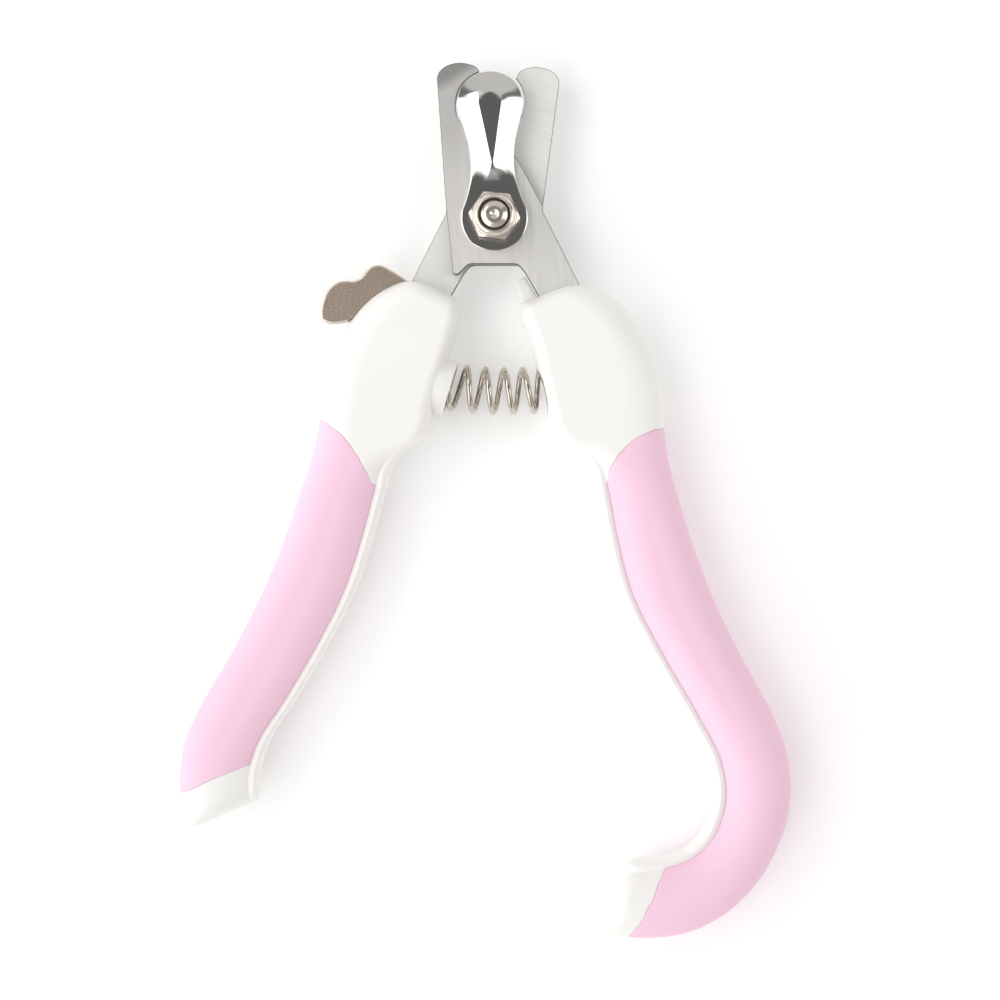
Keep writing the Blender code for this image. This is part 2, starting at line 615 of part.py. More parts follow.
def build_handle(name):
    handle = HANDLES[name]
    side = handle["side"]
    front = slab(f"{name}_core_front", handle["body"], 0.0, HANDLE_THICKNESS, EDGE_ROUND, WHITE_PLASTIC)
    rear = slab(f"{name}_core_rear", handle["body"], 0.0, HANDLE_THICKNESS, EDGE_ROUND, WHITE_PLASTIC)
    grip = slab(f"{name}_grip", handle["body"], 0.0, HANDLE_THICKNESS, EDGE_ROUND, PINK_RUBBER)

    boolean(grip, grip_plan(name, handle, 0.0), "INTERSECT")
    boolean(grip, grip_web(name, handle, 0.0))
    recess = grip_plan(f"{name}_core", handle, GAP)
    boolean(recess, grip_web(f"{name}_core", handle, GAP))
    for half in (front, rear):
        boolean(half, recess)

    if name == "left":
        cup = along_spring("spring_cup", SPRING_OUTER / 2 + SPRING_ROOM + CUP_WALL, -CUP_ROOT, CUP_RIM)
        for half in (front, rear):
            boolean(half, cup, "UNION")
    _, length = spring_frame()
    start, end = (-GAP, length / 2) if name == "left" else (length / 2, length + GAP)
    pocket = along_spring(f"{name}_pocket", SPRING_OUTER / 2 + SPRING_ROOM, start, end)
    pins = [
        disc(f"{name}_{which}_pin_hole", TANG_PIN_RADIUS + PIN_GAP, PIN_SKIN - GAP,
             HANDLE_THICKNESS - PIN_SKIN + GAP, centre=tang_pin_place(side, which))
        for which in TANG_PINS
    ]
    for half in (front, rear):
        for tool in (pocket, *pins):
            boolean(half, tool)

    far = 2 * HANDLE_LENGTH
    field = [(-far, -far), (far, -far), (far, far), (-far, far)]
    boolean(front, slab(f"{name}_under", field, -HANDLE_THICKNESS, MID + GAP / 2))
    boolean(rear, slab(f"{name}_over", field, MID - GAP / 2, 2 * HANDLE_THICKNESS))
    if name == "left":
        boolean(rear, slab("left_tang_pocket", tang_pocket(side), REAR_LOW - GAP, REAR_TOP + 2 * GAP))
    else:
        boolean(front, slab("right_tang_pocket", tang_pocket(side), FRONT_LOW - 2 * GAP, FRONT_TOP + GAP))
        tongue = slab("tang_tongue", to_metres(TONGUE), TONGUE_LOW, MID - GAP / 2)
        boolean(rear, tongue, "UNION")

    for which in TANG_PINS:
        disc(f"{name}_tang_pin_{which}", TANG_PIN_RADIUS, PIN_SKIN, HANDLE_THICKNESS - PIN_SKIN, NICKEL,
             tang_pin_place(side, which))


# ------------------------------------------------------------------ lock lever

def build_lever():
    centre = in_metres(LEVER_PIN)
    hub = arc(centre, LEVER_HUB, 62.0, -98.0, 14)
    outline = join_runs([in_metres(point) for point in LEVER_TAB], hub)
    lever = slab("lock_lever", outline, FRONT_LOW, FRONT_TOP, surface=NICKEL)
    hole = LEVER_PIN_RADIUS + PIN_GAP
    boolean(lever, disc("lever_bore", hole, FRONT_LOW - GAP, FRONT_TOP + GAP, centre=centre))

    washer_low = FRONT_TOP + GAP
    washer_top = washer_low + LEVER_WASHER_THICKNESS
    ring("lever_washer", LEVER_WASHER_RADIUS, hole, washer_low, washer_top, NICKEL, centre)
    disc("lever_pin", LEVER_PIN_RADIUS, PIN_SKIN, HANDLE_THICKNESS - PIN_SKIN, NICKEL, centre)

    front = bpy.data.objects["left_core_front"]
    rear = bpy.data.objects["left_core_rear"]
    boolean(front, slab("lever_slot", lever_slot(), MID - GAP, FRONT_TOP + GAP))
    boolean(front, disc("lever_washer_seat", LEVER_WASHER_RADIUS + PIN_GAP, FRONT_TOP, washer_top + GAP,
                        centre=centre))
    pin_hole = disc("lever_pin_seat", hole, PIN_SKIN - GAP, HANDLE_THICKNESS - PIN_SKIN + GAP, centre=centre)
    for half in (front, rear):
        boolean(half, pin_hole)


def main():
    build_blades()
    build_pivot()
    build_guard()
    build_spring()
    for name in HANDLES:
        build_handle(name)
    build_lever()


main()
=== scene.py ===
"""The looks of a plier-type pet nail clipper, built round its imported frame.

Metres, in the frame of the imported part: the pivot axis is at X = Y = 0, +Y points
to the blade tips, +X to the hooked handle, and the clipper lies on Z = 0.
"""

import json
import math

import bmesh
import bpy
import numpy as np
from mathutils import Matrix, Vector


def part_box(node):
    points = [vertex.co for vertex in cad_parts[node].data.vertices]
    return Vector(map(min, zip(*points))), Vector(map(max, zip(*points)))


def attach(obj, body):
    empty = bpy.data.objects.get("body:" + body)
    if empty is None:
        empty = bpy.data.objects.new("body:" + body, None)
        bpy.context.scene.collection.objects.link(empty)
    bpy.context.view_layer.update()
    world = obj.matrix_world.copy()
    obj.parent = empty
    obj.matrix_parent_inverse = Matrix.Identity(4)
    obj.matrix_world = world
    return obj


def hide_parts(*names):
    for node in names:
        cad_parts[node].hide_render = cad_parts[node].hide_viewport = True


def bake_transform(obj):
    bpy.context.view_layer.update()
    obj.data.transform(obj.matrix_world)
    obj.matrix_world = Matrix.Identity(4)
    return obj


bl_info = {
    "name": "Pet nail clipper",
    "version": (1, 0, 0),
    "blender": (4, 5, 0),
    "location": "View3D > Sidebar > Nail clipper",
    "description": "Builds the finished pieces of a plier-type pet nail clipper round its frame",
    "category": "Object",
}

MM = 0.001

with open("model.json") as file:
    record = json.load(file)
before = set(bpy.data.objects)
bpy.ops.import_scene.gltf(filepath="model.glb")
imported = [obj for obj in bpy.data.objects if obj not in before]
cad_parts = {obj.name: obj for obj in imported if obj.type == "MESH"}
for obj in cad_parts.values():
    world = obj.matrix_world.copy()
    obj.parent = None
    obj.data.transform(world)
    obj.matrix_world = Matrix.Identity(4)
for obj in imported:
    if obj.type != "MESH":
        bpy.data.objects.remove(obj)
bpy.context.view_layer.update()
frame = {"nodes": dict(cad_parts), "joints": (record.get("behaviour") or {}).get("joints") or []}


# ------------------------------------------------------------------ places taken from the frame

def heights(node):
    """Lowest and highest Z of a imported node."""
    low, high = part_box(node)
    return low.z, high.z


def joint(name):
    return next(item for item in frame["joints"] if item["name"] == name)


REAR_LOW, REAR_TOP = heights("rear_blade")
FRONT_LOW, FRONT_TOP = heights("front_blade")
MID = (REAR_TOP + FRONT_LOW) / 2
HALF = heights("left_grip")[1] - MID
GUARD_LOW = heights("safety_guard")[0]
NUT_LOW, NUT_TOP = heights("pivot_nut")
INSERT_LOW, INSERT_TOP = heights("nut_insert")
BOLT_TOP = heights("pivot_bolt")[1]
HEAD_TOP = heights("head_washer")[0] - (heights("rear_blade")[0] - heights("head_washer")[1])
LEVER_CENTRE = tuple(joint("lock_lever_turn")["pos_m"][:2])
BORE = 2.7 * MM

# ------------------------------------------------------------------ outlines, millimetres

# Handle sections, from the head to the tail: a point on the inner side and its partner on the outer side
LEFT_SECTIONS = [
    ((-6.5, -14.2), (-15.0, -10.4)), ((-6.3, -17.6), (-21.0, -13.2)), ((-7.5, -22.8), (-26.3, -18.7)),
    ((-9.3, -28.3), (-29.4, -25.3)), ((-11.0, -33.8), (-30.9, -32.4)), ((-12.3, -39.0), (-31.8, -38.4)),
    ((-15.8, -41.7), (-32.8, -42.7)), ((-18.3, -45.0), (-33.9, -46.3)), ((-19.4, -48.8), (-35.3, -50.3)),
    ((-21.0, -54.8), (-37.5, -56.8)), ((-24.6, -66.1), (-42.0, -67.6)), ((-30.1, -77.1), (-47.8, -78.8)),
    ((-35.6, -86.4), (-53.0, -87.8)), ((-40.2, -93.6), (-56.0, -95.2)), ((-41.8, -98.3), (-56.6, -101.2)),
    ((-42.0, -103.9), (-55.9, -110.2)),
]
RIGHT_SECTIONS = [
    ((4.7, -15.1), (14.9, -11.1)), ((4.7, -17.6), (20.6, -13.5)), ((6.6, -22.8), (25.8, -18.9)),
    ((7.9, -28.4), (28.7, -24.6)), ((9.2, -33.6), (30.0, -31.0)), ((11.0, -39.0), (30.5, -37.3)),
    ((14.6, -41.4), (31.2, -42.4)), ((17.2, -44.5), (32.2, -46.6)), ((18.3, -48.4), (33.4, -51.0)),
    ((19.6, -55.4), (35.6, -58.0)), ((22.6, -67.1), (39.6, -68.6)), ((28.0, -77.9), (44.5, -78.6)),
    ((34.6, -89.5), (50.2, -89.3)), ((38.2, -96.6), (52.8, -96.6)), ((39.3, -103.0), (53.3, -103.8)),
    ((37.6, -109.4), (51.4, -111.6)), ((34.2, -113.0), (47.2, -119.2)), ((30.4, -114.3), (41.0, -125.1)),
    ((27.4, -114.7), (33.8, -128.4)), ((25.4, -114.8), (26.6, -129.1)), ((23.4, -115.1), (18.6, -128.2)),
]

# Where each soft grip begins and ends, from the outer to the inner side
LEFT_GRIP_TOP = [(-31.6, -35.5), (-27.0, -38.7), (-24.3, -42.4), (-22.4, -45.8), (-21.8, -47.6)]
LEFT_GRIP_END = [(-57.0, -103.0), (-53.4, -101.6), (-48.9, -99.4), (-45.2, -98.1), (-43.4, -97.5)]
RIGHT_GRIP_TOP = [(30.8, -37.4), (28.0, -38.0), (24.7, -39.6), (22.0, -42.3), (20.3, -44.9), (19.7, -48.2)]
RIGHT_GRIP_END = [(23.4, -129.8), (24.6, -127.6), (27.3, -122.8), (29.2, -118.5), (30.6, -116.0)]

# Blades, drawn with the jaw on the left and the tang on the right
FRONT_JAW = [(-8.6, 1.4), (-10.3, 25.1)]
FRONT_JAW_END = [(-10.3, 25.1), (-10.1, 25.9), (-9.3, 26.9), (-7.7, 27.7), (-6.1, 27.9), (-4.5, 27.65),
                 (-3.2, 27.1), (-2.7, 26.4)]
FRONT_MOUTH = (-0.95, 20.4)
FRONT_MOUTH_SPAN = (108.0, 272.0)
REAR_JAW = [(-8.7, 2.2), (-11.7, 24.6)]
REAR_JAW_END = [(-11.7, 24.6), (-11.5, 25.4), (-11.0, 26.2), (-9.7, 27.1), (-7.7, 27.5), (-5.8, 27.3),
                (-4.5, 26.6), (-4.05, 25.8)]
REAR_MOUTH = (0.5, 21.4)
REAR_MOUTH_SPAN = (137.0, 285.0)
MOUTH_RADIUS = 5.95
FLANK = [(4.05, 10.8), (8.7, 2.2), (8.7, 1.2), (14.75, -10.9)]
TANG = [(14.75, -10.9), (18.7, -18.5), (21.6, -27.0), (23.7, -35.0), (24.0, -38.6), (22.9, -40.8),
        (20.6, -40.8), (18.9, -38.6), (17.6, -34.0), (15.2, -27.0), (11.5, -20.0), (7.9, -13.8)]
ARCH = [(7.9, -13.8), (5.75, -10.1), (5.5, -9.65), (4.8, -8.8), (4.3, -8.3), (3.6, -8.1), (-4.1, -8.1),
        (-4.6, -8.25), (-4.95, -8.45), (-6.3, -9.8), (-6.6, -9.95), (-7.2, -9.95), (-7.45, -9.7)]
TONGUE = [(3.6, -11.0), (5.5, -10.3), (9.6, -17.0), (6.4, -18.0)]

LEVER_TAB = [(-25.7, -17.9), (-26.1, -18.35), (-26.7, -18.5), (-30.5, -18.45), (-31.0, -18.1),
             (-31.15, -17.1), (-30.7, -14.5), (-29.5, -12.3), (-28.2, -11.4), (-26.8, -11.1),
             (-25.0, -11.1), (-24.0, -10.6), (-23.1, -9.5), (-22.3, -8.7), (-21.3, -8.3),
             (-20.2, -8.4), (-18.2, -9.4), (-16.3, -10.6)]
LEVER_ROOM = [(-25.9, -18.7), (-34.0, -18.9), (-38.0, -17.6)]

# The guard: y, half width, roof height, half width of the roof's flat top
GUARD_SHAPE = [
    (0.0, 6.0, 0.0, 2.4), (1.5, 5.81, 0.0, 2.3), (3.0, 5.2, 0.0, 2.2), (5.0, 4.55, 0.0, 1.8),
    (6.2, 4.23, 0.08, 1.4), (7.4, 4.02, 0.42, 0.85), (8.6, 3.92, 0.86, 0.4), (9.6, 3.88, 1.12, 0.12),
    (11.2, 3.95, 1.3, 0.38), (13.5, 4.25, 1.5, 0.8),
    (15.5, 4.75, 1.7, 1.15), (17.7, 5.38, 1.9, 1.55), (19.5, 5.85, 2.05, 1.9), (20.9, 6.03, 2.15, 2.15),
]
GUARD_TIP = (20.3, 5.95)        # where the rounded tip starts and how far it reaches beyond
GUARD_PAD = 6.0                 # radius of the round pad under the nut
GUARD_WALL = 1.2                # thickness of the sheet
GUARD_CORNER = 0.3              # rounding of its rims
GUARD_LEAN = math.radians(2.2)

# The pivot's pieces
SHANK = 2.5 * MM
HEAD = 4.8 * MM
NUT_FLAT = 4.0 * MM             # half the nut's width across flats
NUT_TURN = math.radians(-6.0)
COLLAR = 3.7 * MM
COLLAR_ROUND = (0.74 * MM, 1.2 * MM)    # width and height of the collar's rolled rim
RING_SEAT = 2.86 * MM
RING_INNER, RING_OUTER = 2.55 * MM, 2.84 * MM
WASHER_INNER, WASHER_OUTER = 2.6 * MM, 5.4 * MM

# The spring's seats, and where along its centreline each of its turns is; the turns are counted from a top
SPRING_LEFT = (-12.3, -29.2)
SPRING_RIGHT = (12.2, -30.1)
SPRING_HALF = 12.25 * MM
SPRING_TURNS = [(-2.7, -11.7), (-1.7, -10.6), (-0.7, -8.0), (0.0, -5.3), (1.0, -1.78), (2.0, 1.74),
                (3.0, 5.26), (3.6, 7.35), (4.6, 10.3), (5.6, 11.7)]

PINS = ("left_tang_pin_upper", "left_tang_pin_lower", "right_tang_pin_upper", "right_tang_pin_lower",
        "lever_pin", "lever_washer")
PARTING = 0.03 * MM             # half the gap between a handle's two hard halves

# The light tent: its level overhead and on its walls, the sines of the opening's edges, and its panels:
# the way each faces and how far round it reaches in degrees, and its level
ZENITH = 0.13
WALL = 0.6
OPENING = (0.84, 0.96)
PANELS = [(204.0, 43.0, 2.0), (-4.0, 21.0, 1.8), (32.0, 9.0, 0.2), (146.0, 10.0, 0.18), (306.0, 34.0, 0.38)]
PANEL_SOFTNESS = 6.0            # degrees


# ------------------------------------------------------------------ settings

class HandleSettings(bpy.types.PropertyGroup):
    lip: bpy.props.FloatProperty(
        name="Lip", description="Width of the hard lip along a handle's inner side",
        default=2.1 * MM, unit="LENGTH")
    lip_rise: bpy.props.FloatProperty(
        name="Lip rise", description="Height of the lip as a share of the handle's half thickness",
        default=0.6, subtype="FACTOR")
    head_round: bpy.props.FloatProperty(
        name="Head rounding", description="Rounding of the head's inner side",
        default=2.5 * MM, unit="LENGTH")
    outer_round: bpy.props.FloatProperty(
        name="Outer rounding", description="Rounding of a handle's outer side",
        default=6.2 * MM, unit="LENGTH")
    end_round: bpy.props.FloatProperty(
        name="End rounding", description="Rounding of a handle's two ends", default=3.0 * MM, unit="LENGTH")
    groove: bpy.props.FloatProperty(
        name="Groove", description="Depth of the line between the grip and the hard plastic",
        default=0.07 * MM, unit="LENGTH")
    grip_wall: bpy.props.FloatProperty(
        name="Grip wall", description="Thickness of the soft grip", default=1.5 * MM, unit="LENGTH")
    white: bpy.props.FloatVectorProperty(
        name="Hard plastic", description="Colour of the hard plastic", default=(0.94, 0.934, 0.912),
        size=3, subtype="COLOR")
    pink: bpy.props.FloatVectorProperty(
        name="Soft grip", description="Colour of the soft grip", default=(0.95, 0.635, 0.79),
        size=3, subtype="COLOR")


class SteelSettings(bpy.types.PropertyGroup):
    edge: bpy.props.FloatProperty(
        name="Blade edge", description="Rounding of the blades' stamped edges",
        default=0.12 * MM, unit="LENGTH")
    grind: bpy.props.FloatProperty(
        name="Grind", description="Width of the ground bevel along the cutting edge",
        default=0.25 * MM, unit="LENGTH")
    blade: bpy.props.FloatVectorProperty(
        name="Blade steel", description="Colour of the brushed blades", default=(0.95, 0.938, 0.925),
        size=3, subtype="COLOR")
    polished: bpy.props.FloatVectorProperty(
        name="Polished steel", description="Colour of the polished guard", default=(0.82, 0.81, 0.80),
        size=3, subtype="COLOR")
    nickel: bpy.props.FloatVectorProperty(
        name="Nickel", description="Colour of the nickel plate", default=(0.82, 0.75, 0.66),
        size=3, subtype="COLOR")
    lever: bpy.props.FloatVectorProperty(
        name="Lever", description="Colour of the lever's grainy face", default=(0.52, 0.435, 0.36),
        size=3, subtype="COLOR")


class SpringSettings(bpy.types.PropertyGroup):
    wire: bpy.props.FloatProperty(
        name="Wire", description="Diameter of the spring's wire", default=1.0 * MM, unit="LENGTH")
    outer: bpy.props.FloatProperty(
        name="Outer diameter", description="Diameter over the coils", default=8.8 * MM, unit="LENGTH")
    bow: bpy.props.FloatProperty(
        name="Bow", description="How far the middle of the spring hangs below its ends",
        default=1.1 * MM, unit="LENGTH")


class StageSettings(bpy.types.PropertyGroup):
    distance: bpy.props.FloatProperty(
        name="Camera distance", description="Camera above the handles' mid-plane",
        default=0.40, unit="LENGTH")
    width: bpy.props.FloatProperty(
        name="Field", description="Width of the field at the handles' mid-plane",
        default=0.18, unit="LENGTH")
    glow: bpy.props.FloatProperty(
        name="Table glow", description="Light that the white table gives off itself",
        default=0.15, subtype="FACTOR")
    key: bpy.props.FloatProperty(
        name="Key light", description="Power of the soft light at the upper left", default=0.7, unit="POWER")
    fill: bpy.props.FloatProperty(
        name="Fill light", description="Power of the wide light overhead", default=0.55, unit="POWER")


# ------------------------------------------------------------------ shader maths

class Signal:
    """A shader value whose arithmetic adds Math nodes."""

    def __init__(self, graph, socket):
        self.graph = graph
        self.socket = socket

    def math(self, operation, *values, clamp=False):
        settings = {"operation": operation, "use_clamp": clamp}
        return self.graph.node("ShaderNodeMath", settings, dict(enumerate(values)))

    def __add__(self, other):
        return self.math("ADD", self, other)

    def __sub__(self, other):
        return self.math("SUBTRACT", self, other)

    def __rsub__(self, other):
        return self.math("SUBTRACT", other, self)

    def __mul__(self, other):
        return self.math("MULTIPLY", self, other)

    def __truediv__(self, other):
        return self.math("DIVIDE", self, other)

    def __pow__(self, other):
        return self.math("POWER", self, other)

    __radd__ = __add__
    __rmul__ = __mul__


class Graph:
    """A node tree with the few ways that this file adds to it."""

    def __init__(self, tree, place):
        self.tree = tree
        self.place = self.node("ShaderNodeTexCoord", output=place)

    def node(self, kind, settings=None, inputs=None, output=0):
        """Adds a node: its settings first, then the values or links of its sockets."""
        made = self.tree.nodes.new(kind)
        for key, value in (settings or {}).items():
            setattr(made, key, value)
        for key, value in (inputs or {}).items():
            self.feed(made.inputs[key], value)
        return Signal(self, made.outputs[output])

    def feed(self, socket, value):
        if isinstance(value, Signal):
            self.tree.links.new(value.socket, socket)
        else:
            socket.default_value = value

    def noise(self, scale, detail=2.0, roughness=0.5, vector=None):
        inputs = {"Vector": vector or self.place, "Scale": scale, "Detail": detail, "Roughness": roughness}
        return self.node("ShaderNodeTexNoise", None, inputs)

    def cells(self, scale):
        """Distance from the nearest of many scattered points."""
        inputs = {"Vector": self.place, "Scale": scale}
        return self.node("ShaderNodeTexVoronoi", {"feature": "F1"}, inputs, output="Distance")

    def stretched(self, angle, along, across, through):
        """Object coordinates turned by angle about Z and scaled along, across and through the grain."""
        turned = self.node("ShaderNodeMapping", {"vector_type": "TEXTURE"},
                           {"Vector": self.place, "Rotation": (0.0, 0.0, math.radians(angle))})
        return self.node("ShaderNodeMapping", {"vector_type": "POINT"},
                         {"Vector": turned, "Scale": (along, across, through)})

    def axis(self, letter):
        return self.node("ShaderNodeSeparateXYZ", None, {"Vector": self.place}, output=letter)

    def blend(self, factor, first, second):
        """One colour turning into another as factor goes from 0 to 1."""
        made = self.tree.nodes.new("ShaderNodeMix")
        made.data_type = "RGBA"
        sockets = {socket.identifier: socket for socket in made.inputs}
        self.feed(sockets["Factor_Float"], factor)
        self.feed(sockets["A_Color"], rgba(first))
        self.feed(sockets["B_Color"], rgba(second))
        return Signal(self, next(out for out in made.outputs if out.identifier == "Result_Color"))

    def step(self, value, low, high):
        """0 below low, 1 above high, smooth between."""
        return self.node("ShaderNodeMapRange", {"interpolation_type": "SMOOTHSTEP"},
                         {"Value": value, "From Min": low, "From Max": high})

    def bump(self, height, distance, strength=1.0):
        return self.node("ShaderNodeBump", None,
                         {"Strength": strength, "Distance": distance, "Height": height})


class Finish(Graph):
    """A material in the making: one Principled shader and what feeds it."""

    def __init__(self, name, **constants):
        self.material = bpy.data.materials.new(name)
        self.material.use_nodes = True
        super().__init__(self.material.node_tree, "Object")
        self.shader = self.tree.nodes["Principled BSDF"]
        self.paint(**constants)

    def paint(self, **inputs):
        """Sets or feeds the shader's own sockets."""
        for key, value in inputs.items():
            self.feed(self.shader.inputs[key.replace("_", " ")], value)
        return self.material


def rgba(color):
    return color if isinstance(color, Signal) else (*tuple(color)[:3], 1.0)


def shade(color, factor):
    return tuple(min(channel * factor, 1.0) for channel in color)


# ------------------------------------------------------------------ finishes

def hard_plastic():
    """Glossy injection-moulded plastic: a faint flow mottle and a very fine ripple."""
    white = bpy.context.scene.clipper_handles.white
    finish = Finish("hard_white_plastic", IOR=1.5, Specular_IOR_Level=0.5)
    flow = finish.noise(70.0, 3.0)
    grain = finish.noise(2600.0, 2.0)
    color = finish.blend(flow, shade(white, 0.985), shade(white, 1.012))
    ripple = finish.bump(finish.noise(260.0, 1.0) * 0.6 + grain * 0.4, 0.02 * MM, 0.35)
    return finish.paint(Base_Color=color, Roughness=0.26 + flow * 0.06 + grain * 0.06, Normal=ripple)


def soft_grip():
    """Matt thermoplastic rubber: a fine spark-eroded stipple, and a dusting of lighter handling marks."""
    pink = bpy.context.scene.clipper_handles.pink
    finish = Finish("soft_pink_rubber", IOR=1.45, Specular_IOR_Level=0.4,
                    Sheen_Weight=0.12, Sheen_Roughness=0.5)
    cloud = finish.noise(45.0, 3.0)
    stipple = finish.noise(3400.0, 3.0, 0.6)
    pits = finish.cells(2200.0)
    color = finish.blend(cloud * 0.7 + stipple * 0.3, shade(pink, 0.965), shade(pink, 1.03))
    relief = finish.bump(stipple * 0.7 + pits * 0.5, 0.03 * MM, 0.5)
    return finish.paint(Base_Color=color, Roughness=0.5 + stipple * 0.14 + cloud * 0.05, Normal=relief)


def brushed_steel(name, angle, tip_shade, metallic):
    """Satin stamped steel with belt lines at one angle, and painted shade darkening the jaw's upper part
    and, more strongly, its tip.
    """
    steel = bpy.context.scene.clipper_steel.blade
    finish = Finish(name, Metallic=metallic)
    fine = finish.noise(1.0, 3.0, 0.6, finish.stretched(angle, 50.0, 6500.0, 400.0))
    broad = finish.noise(1.0, 2.0, 0.5, finish.stretched(angle, 70.0, 1900.0, 200.0))
    cloud = finish.noise(110.0, 2.0)
    lines = fine * 0.5 + broad * 0.5
    marked = finish.step(lines, 0.32, 0.68)
    outward = finish.axis("Y") * 0.87 - finish.axis("X") * 0.5
    # Painted shade: the jaw's tip painted darker, standing in for a dark reflection.
    tip = finish.step(outward + cloud * MM, 24.6 * MM, 27.2 * MM) * tip_shade
    bright = finish.blend(marked * 0.6 + cloud * 0.4, shade(steel, 0.93), shade(steel, 1.06))
    # Painted shade: a broad darkening over the jaw's upper part.
    jaw_painted_shade = finish.step(outward, 3 * MM, 19 * MM) * tip_shade
    color = finish.blend(tip, finish.blend(jaw_painted_shade, bright, shade(steel, 0.76)), shade(steel, 0.42))
    roughness = 0.44 + marked * 0.06 + cloud * 0.06
    relief = finish.bump(lines, 0.006 * MM, 0.4)
    return finish.paint(Base_Color=color, Roughness=roughness, Normal=relief)


def ground_edge():
    """The freshly ground bevel of a cutting edge: bright, with fine cross lines."""
    finish = Finish("ground_edge", Metallic=1.0)
    lines = finish.noise(1.0, 2.0, 0.5, finish.stretched(35.0, 90.0, 6000.0, 500.0))
    color = finish.blend(lines, (0.78, 0.78, 0.77), (0.9, 0.9, 0.89))
    return finish.paint(Base_Color=color, Roughness=0.2 + lines * 0.12,
                        Normal=finish.bump(lines, 0.006 * MM, 0.4))


def stamped_wall_and_shade():
    """The sheared side of a stamping, with lines through its thickness: dark partly as sheared steel and
    partly as painted shade for the dark lines along rims and gaps.
    """
    known = bpy.data.materials.get("stamped_wall_and_shade")
    if known:
        return known
    finish = Finish("stamped_wall_and_shade", Metallic=1.0)
    lines = finish.noise(1.0, 2.0, 0.5, finish.stretched(0.0, 2600.0, 2600.0, 300.0))
    # Dark colour: partly the sheared steel, partly painted shade.
    color = finish.blend(lines, (0.13, 0.126, 0.122), (0.3, 0.292, 0.283))
    return finish.paint(Base_Color=color, Roughness=0.34 + lines * 0.2,
                        Normal=finish.bump(lines, 0.01 * MM, 0.4))


def polished_steel():
    """Buffed pressed sheet: near mirror, with hairlines, buffing haze and a few wiping smears."""
    steel = bpy.context.scene.clipper_steel.polished
    finish = Finish("polished_steel", Metallic=1.0)
    hair = finish.noise(1.0, 3.0, 0.7, finish.stretched(78.0, 120.0, 9000.0, 500.0))
    haze = finish.noise(190.0, 4.0, 0.6)
    smear = finish.noise(1.0, 2.0, 0.5, finish.stretched(70.0, 60.0, 420.0, 100.0))
    color = finish.blend(haze, shade(steel, 0.94), shade(steel, 1.06))
    roughness = 0.06 + finish.step(haze, 0.45, 0.8) * 0.07 + finish.step(smear, 0.5, 0.75) * 0.05
    relief = finish.bump(hair * 0.4 + finish.noise(620.0, 3.0) * 0.6, 0.03 * MM, 0.45)
    return finish.paint(Base_Color=color, Roughness=roughness, Normal=relief)


def nickel_plate(name="nickel_plate", roughness=0.16, scale=1.0, metallic=0.85, tone=1.0):
    """Bright nickel over turned steel: faint tool rings and small plating bumps."""
    nickel = bpy.context.scene.clipper_steel.nickel
    finish = Finish(name, Metallic=metallic)
    plate = finish.noise(900.0 * scale, 3.0)
    stain = finish.noise(260.0 * scale, 3.0)
    color = finish.blend(stain, shade(nickel, 0.84 * tone), shade(nickel, 1.12 * tone))
    return finish.paint(Base_Color=color, Roughness=roughness + finish.step(stain, 0.5, 0.8) * 0.12,
                        Normal=finish.bump(plate, 0.015 * MM, 0.35))


def lever_face():
    """Tumbled nickel: a grainy, slightly pitted face over a warm grey-brown."""
    color = bpy.context.scene.clipper_steel.lever
    finish = Finish("lever_face", Metallic=1.0)
    grain = finish.noise(3800.0, 3.0, 0.7)
    pits = finish.cells(4600.0)
    cloud = finish.noise(150.0, 3.0)
    speck = finish.step(grain, 0.36, 0.66)
    mixed = finish.blend(speck * 0.65 + cloud * 0.35, shade(color, 0.68), shade(color, 1.42))
    relief = finish.bump(grain * 0.7 + pits * 0.6, 0.02 * MM, 0.6)
    return finish.paint(Base_Color=mixed, Roughness=0.42 + speck * 0.16, Normal=relief)


def lever_edge_rubbed_and_highlit():
    """The lever's rubbed edges, smoother than its faces, and painted brighter: a painted highlight on the
    bevel.
    """
    finish = Finish("lever_edge_rubbed_and_highlit", Metallic=1.0)
    wear = finish.noise(700.0, 3.0)
    # Light colour: a painted highlight on the rubbed bevel.
    color = finish.blend(wear, (0.72, 0.63, 0.55), (0.9, 0.81, 0.72))
    return finish.paint(Base_Color=color, Roughness=0.3 + wear * 0.14,
                        Normal=finish.bump(wear, 0.01 * MM, 0.3))


def nylon():
    """Nylon ring with machining marks, coloured near black: painted shade for the dark ring in the collar's
    recess.
    """
    finish = Finish("nylon_in_painted_shade", Specular_IOR_Level=0.3)
    marks = finish.noise(1800.0, 3.0)
    color = finish.blend(marks, (0.02, 0.018, 0.016), (0.05, 0.045, 0.04))
    return finish.paint(Base_Color=color, Roughness=0.45 + marks * 0.2,
                        Normal=finish.bump(marks, 0.02 * MM, 0.4))


# ------------------------------------------------------------------ curves and meshes

def metres(points):
    return [(x * MM, y * MM) for x, y in points]


def chord_knots(points):
    """Distance travelled at each point of a polyline."""
    points = np.asarray(points, float)
    return np.concatenate([[0.0], np.cumsum(np.linalg.norm(np.diff(points, axis=0), axis=-1))])


def follow(points, knots, where):
    """Positions on the smooth curve through points, at distances in where."""
    points, knots, where = np.asarray(points, float), np.asarray(knots, float), np.asarray(where, float)
    slopes = np.gradient(points, knots, axis=0)
    i = np.clip(np.searchsorted(knots, where, side="right") - 1, 0, len(knots) - 2)
    span = (knots[i + 1] - knots[i])[..., None]
    t = (where - knots[i])[..., None] / span
    return ((2 * t**3 - 3 * t**2 + 1) * points[i] + (t**3 - 2 * t**2 + t) * span * slopes[i]
            + (3 * t**2 - 2 * t**3) * points[i + 1] + (t**3 - t**2) * span * slopes[i + 1])


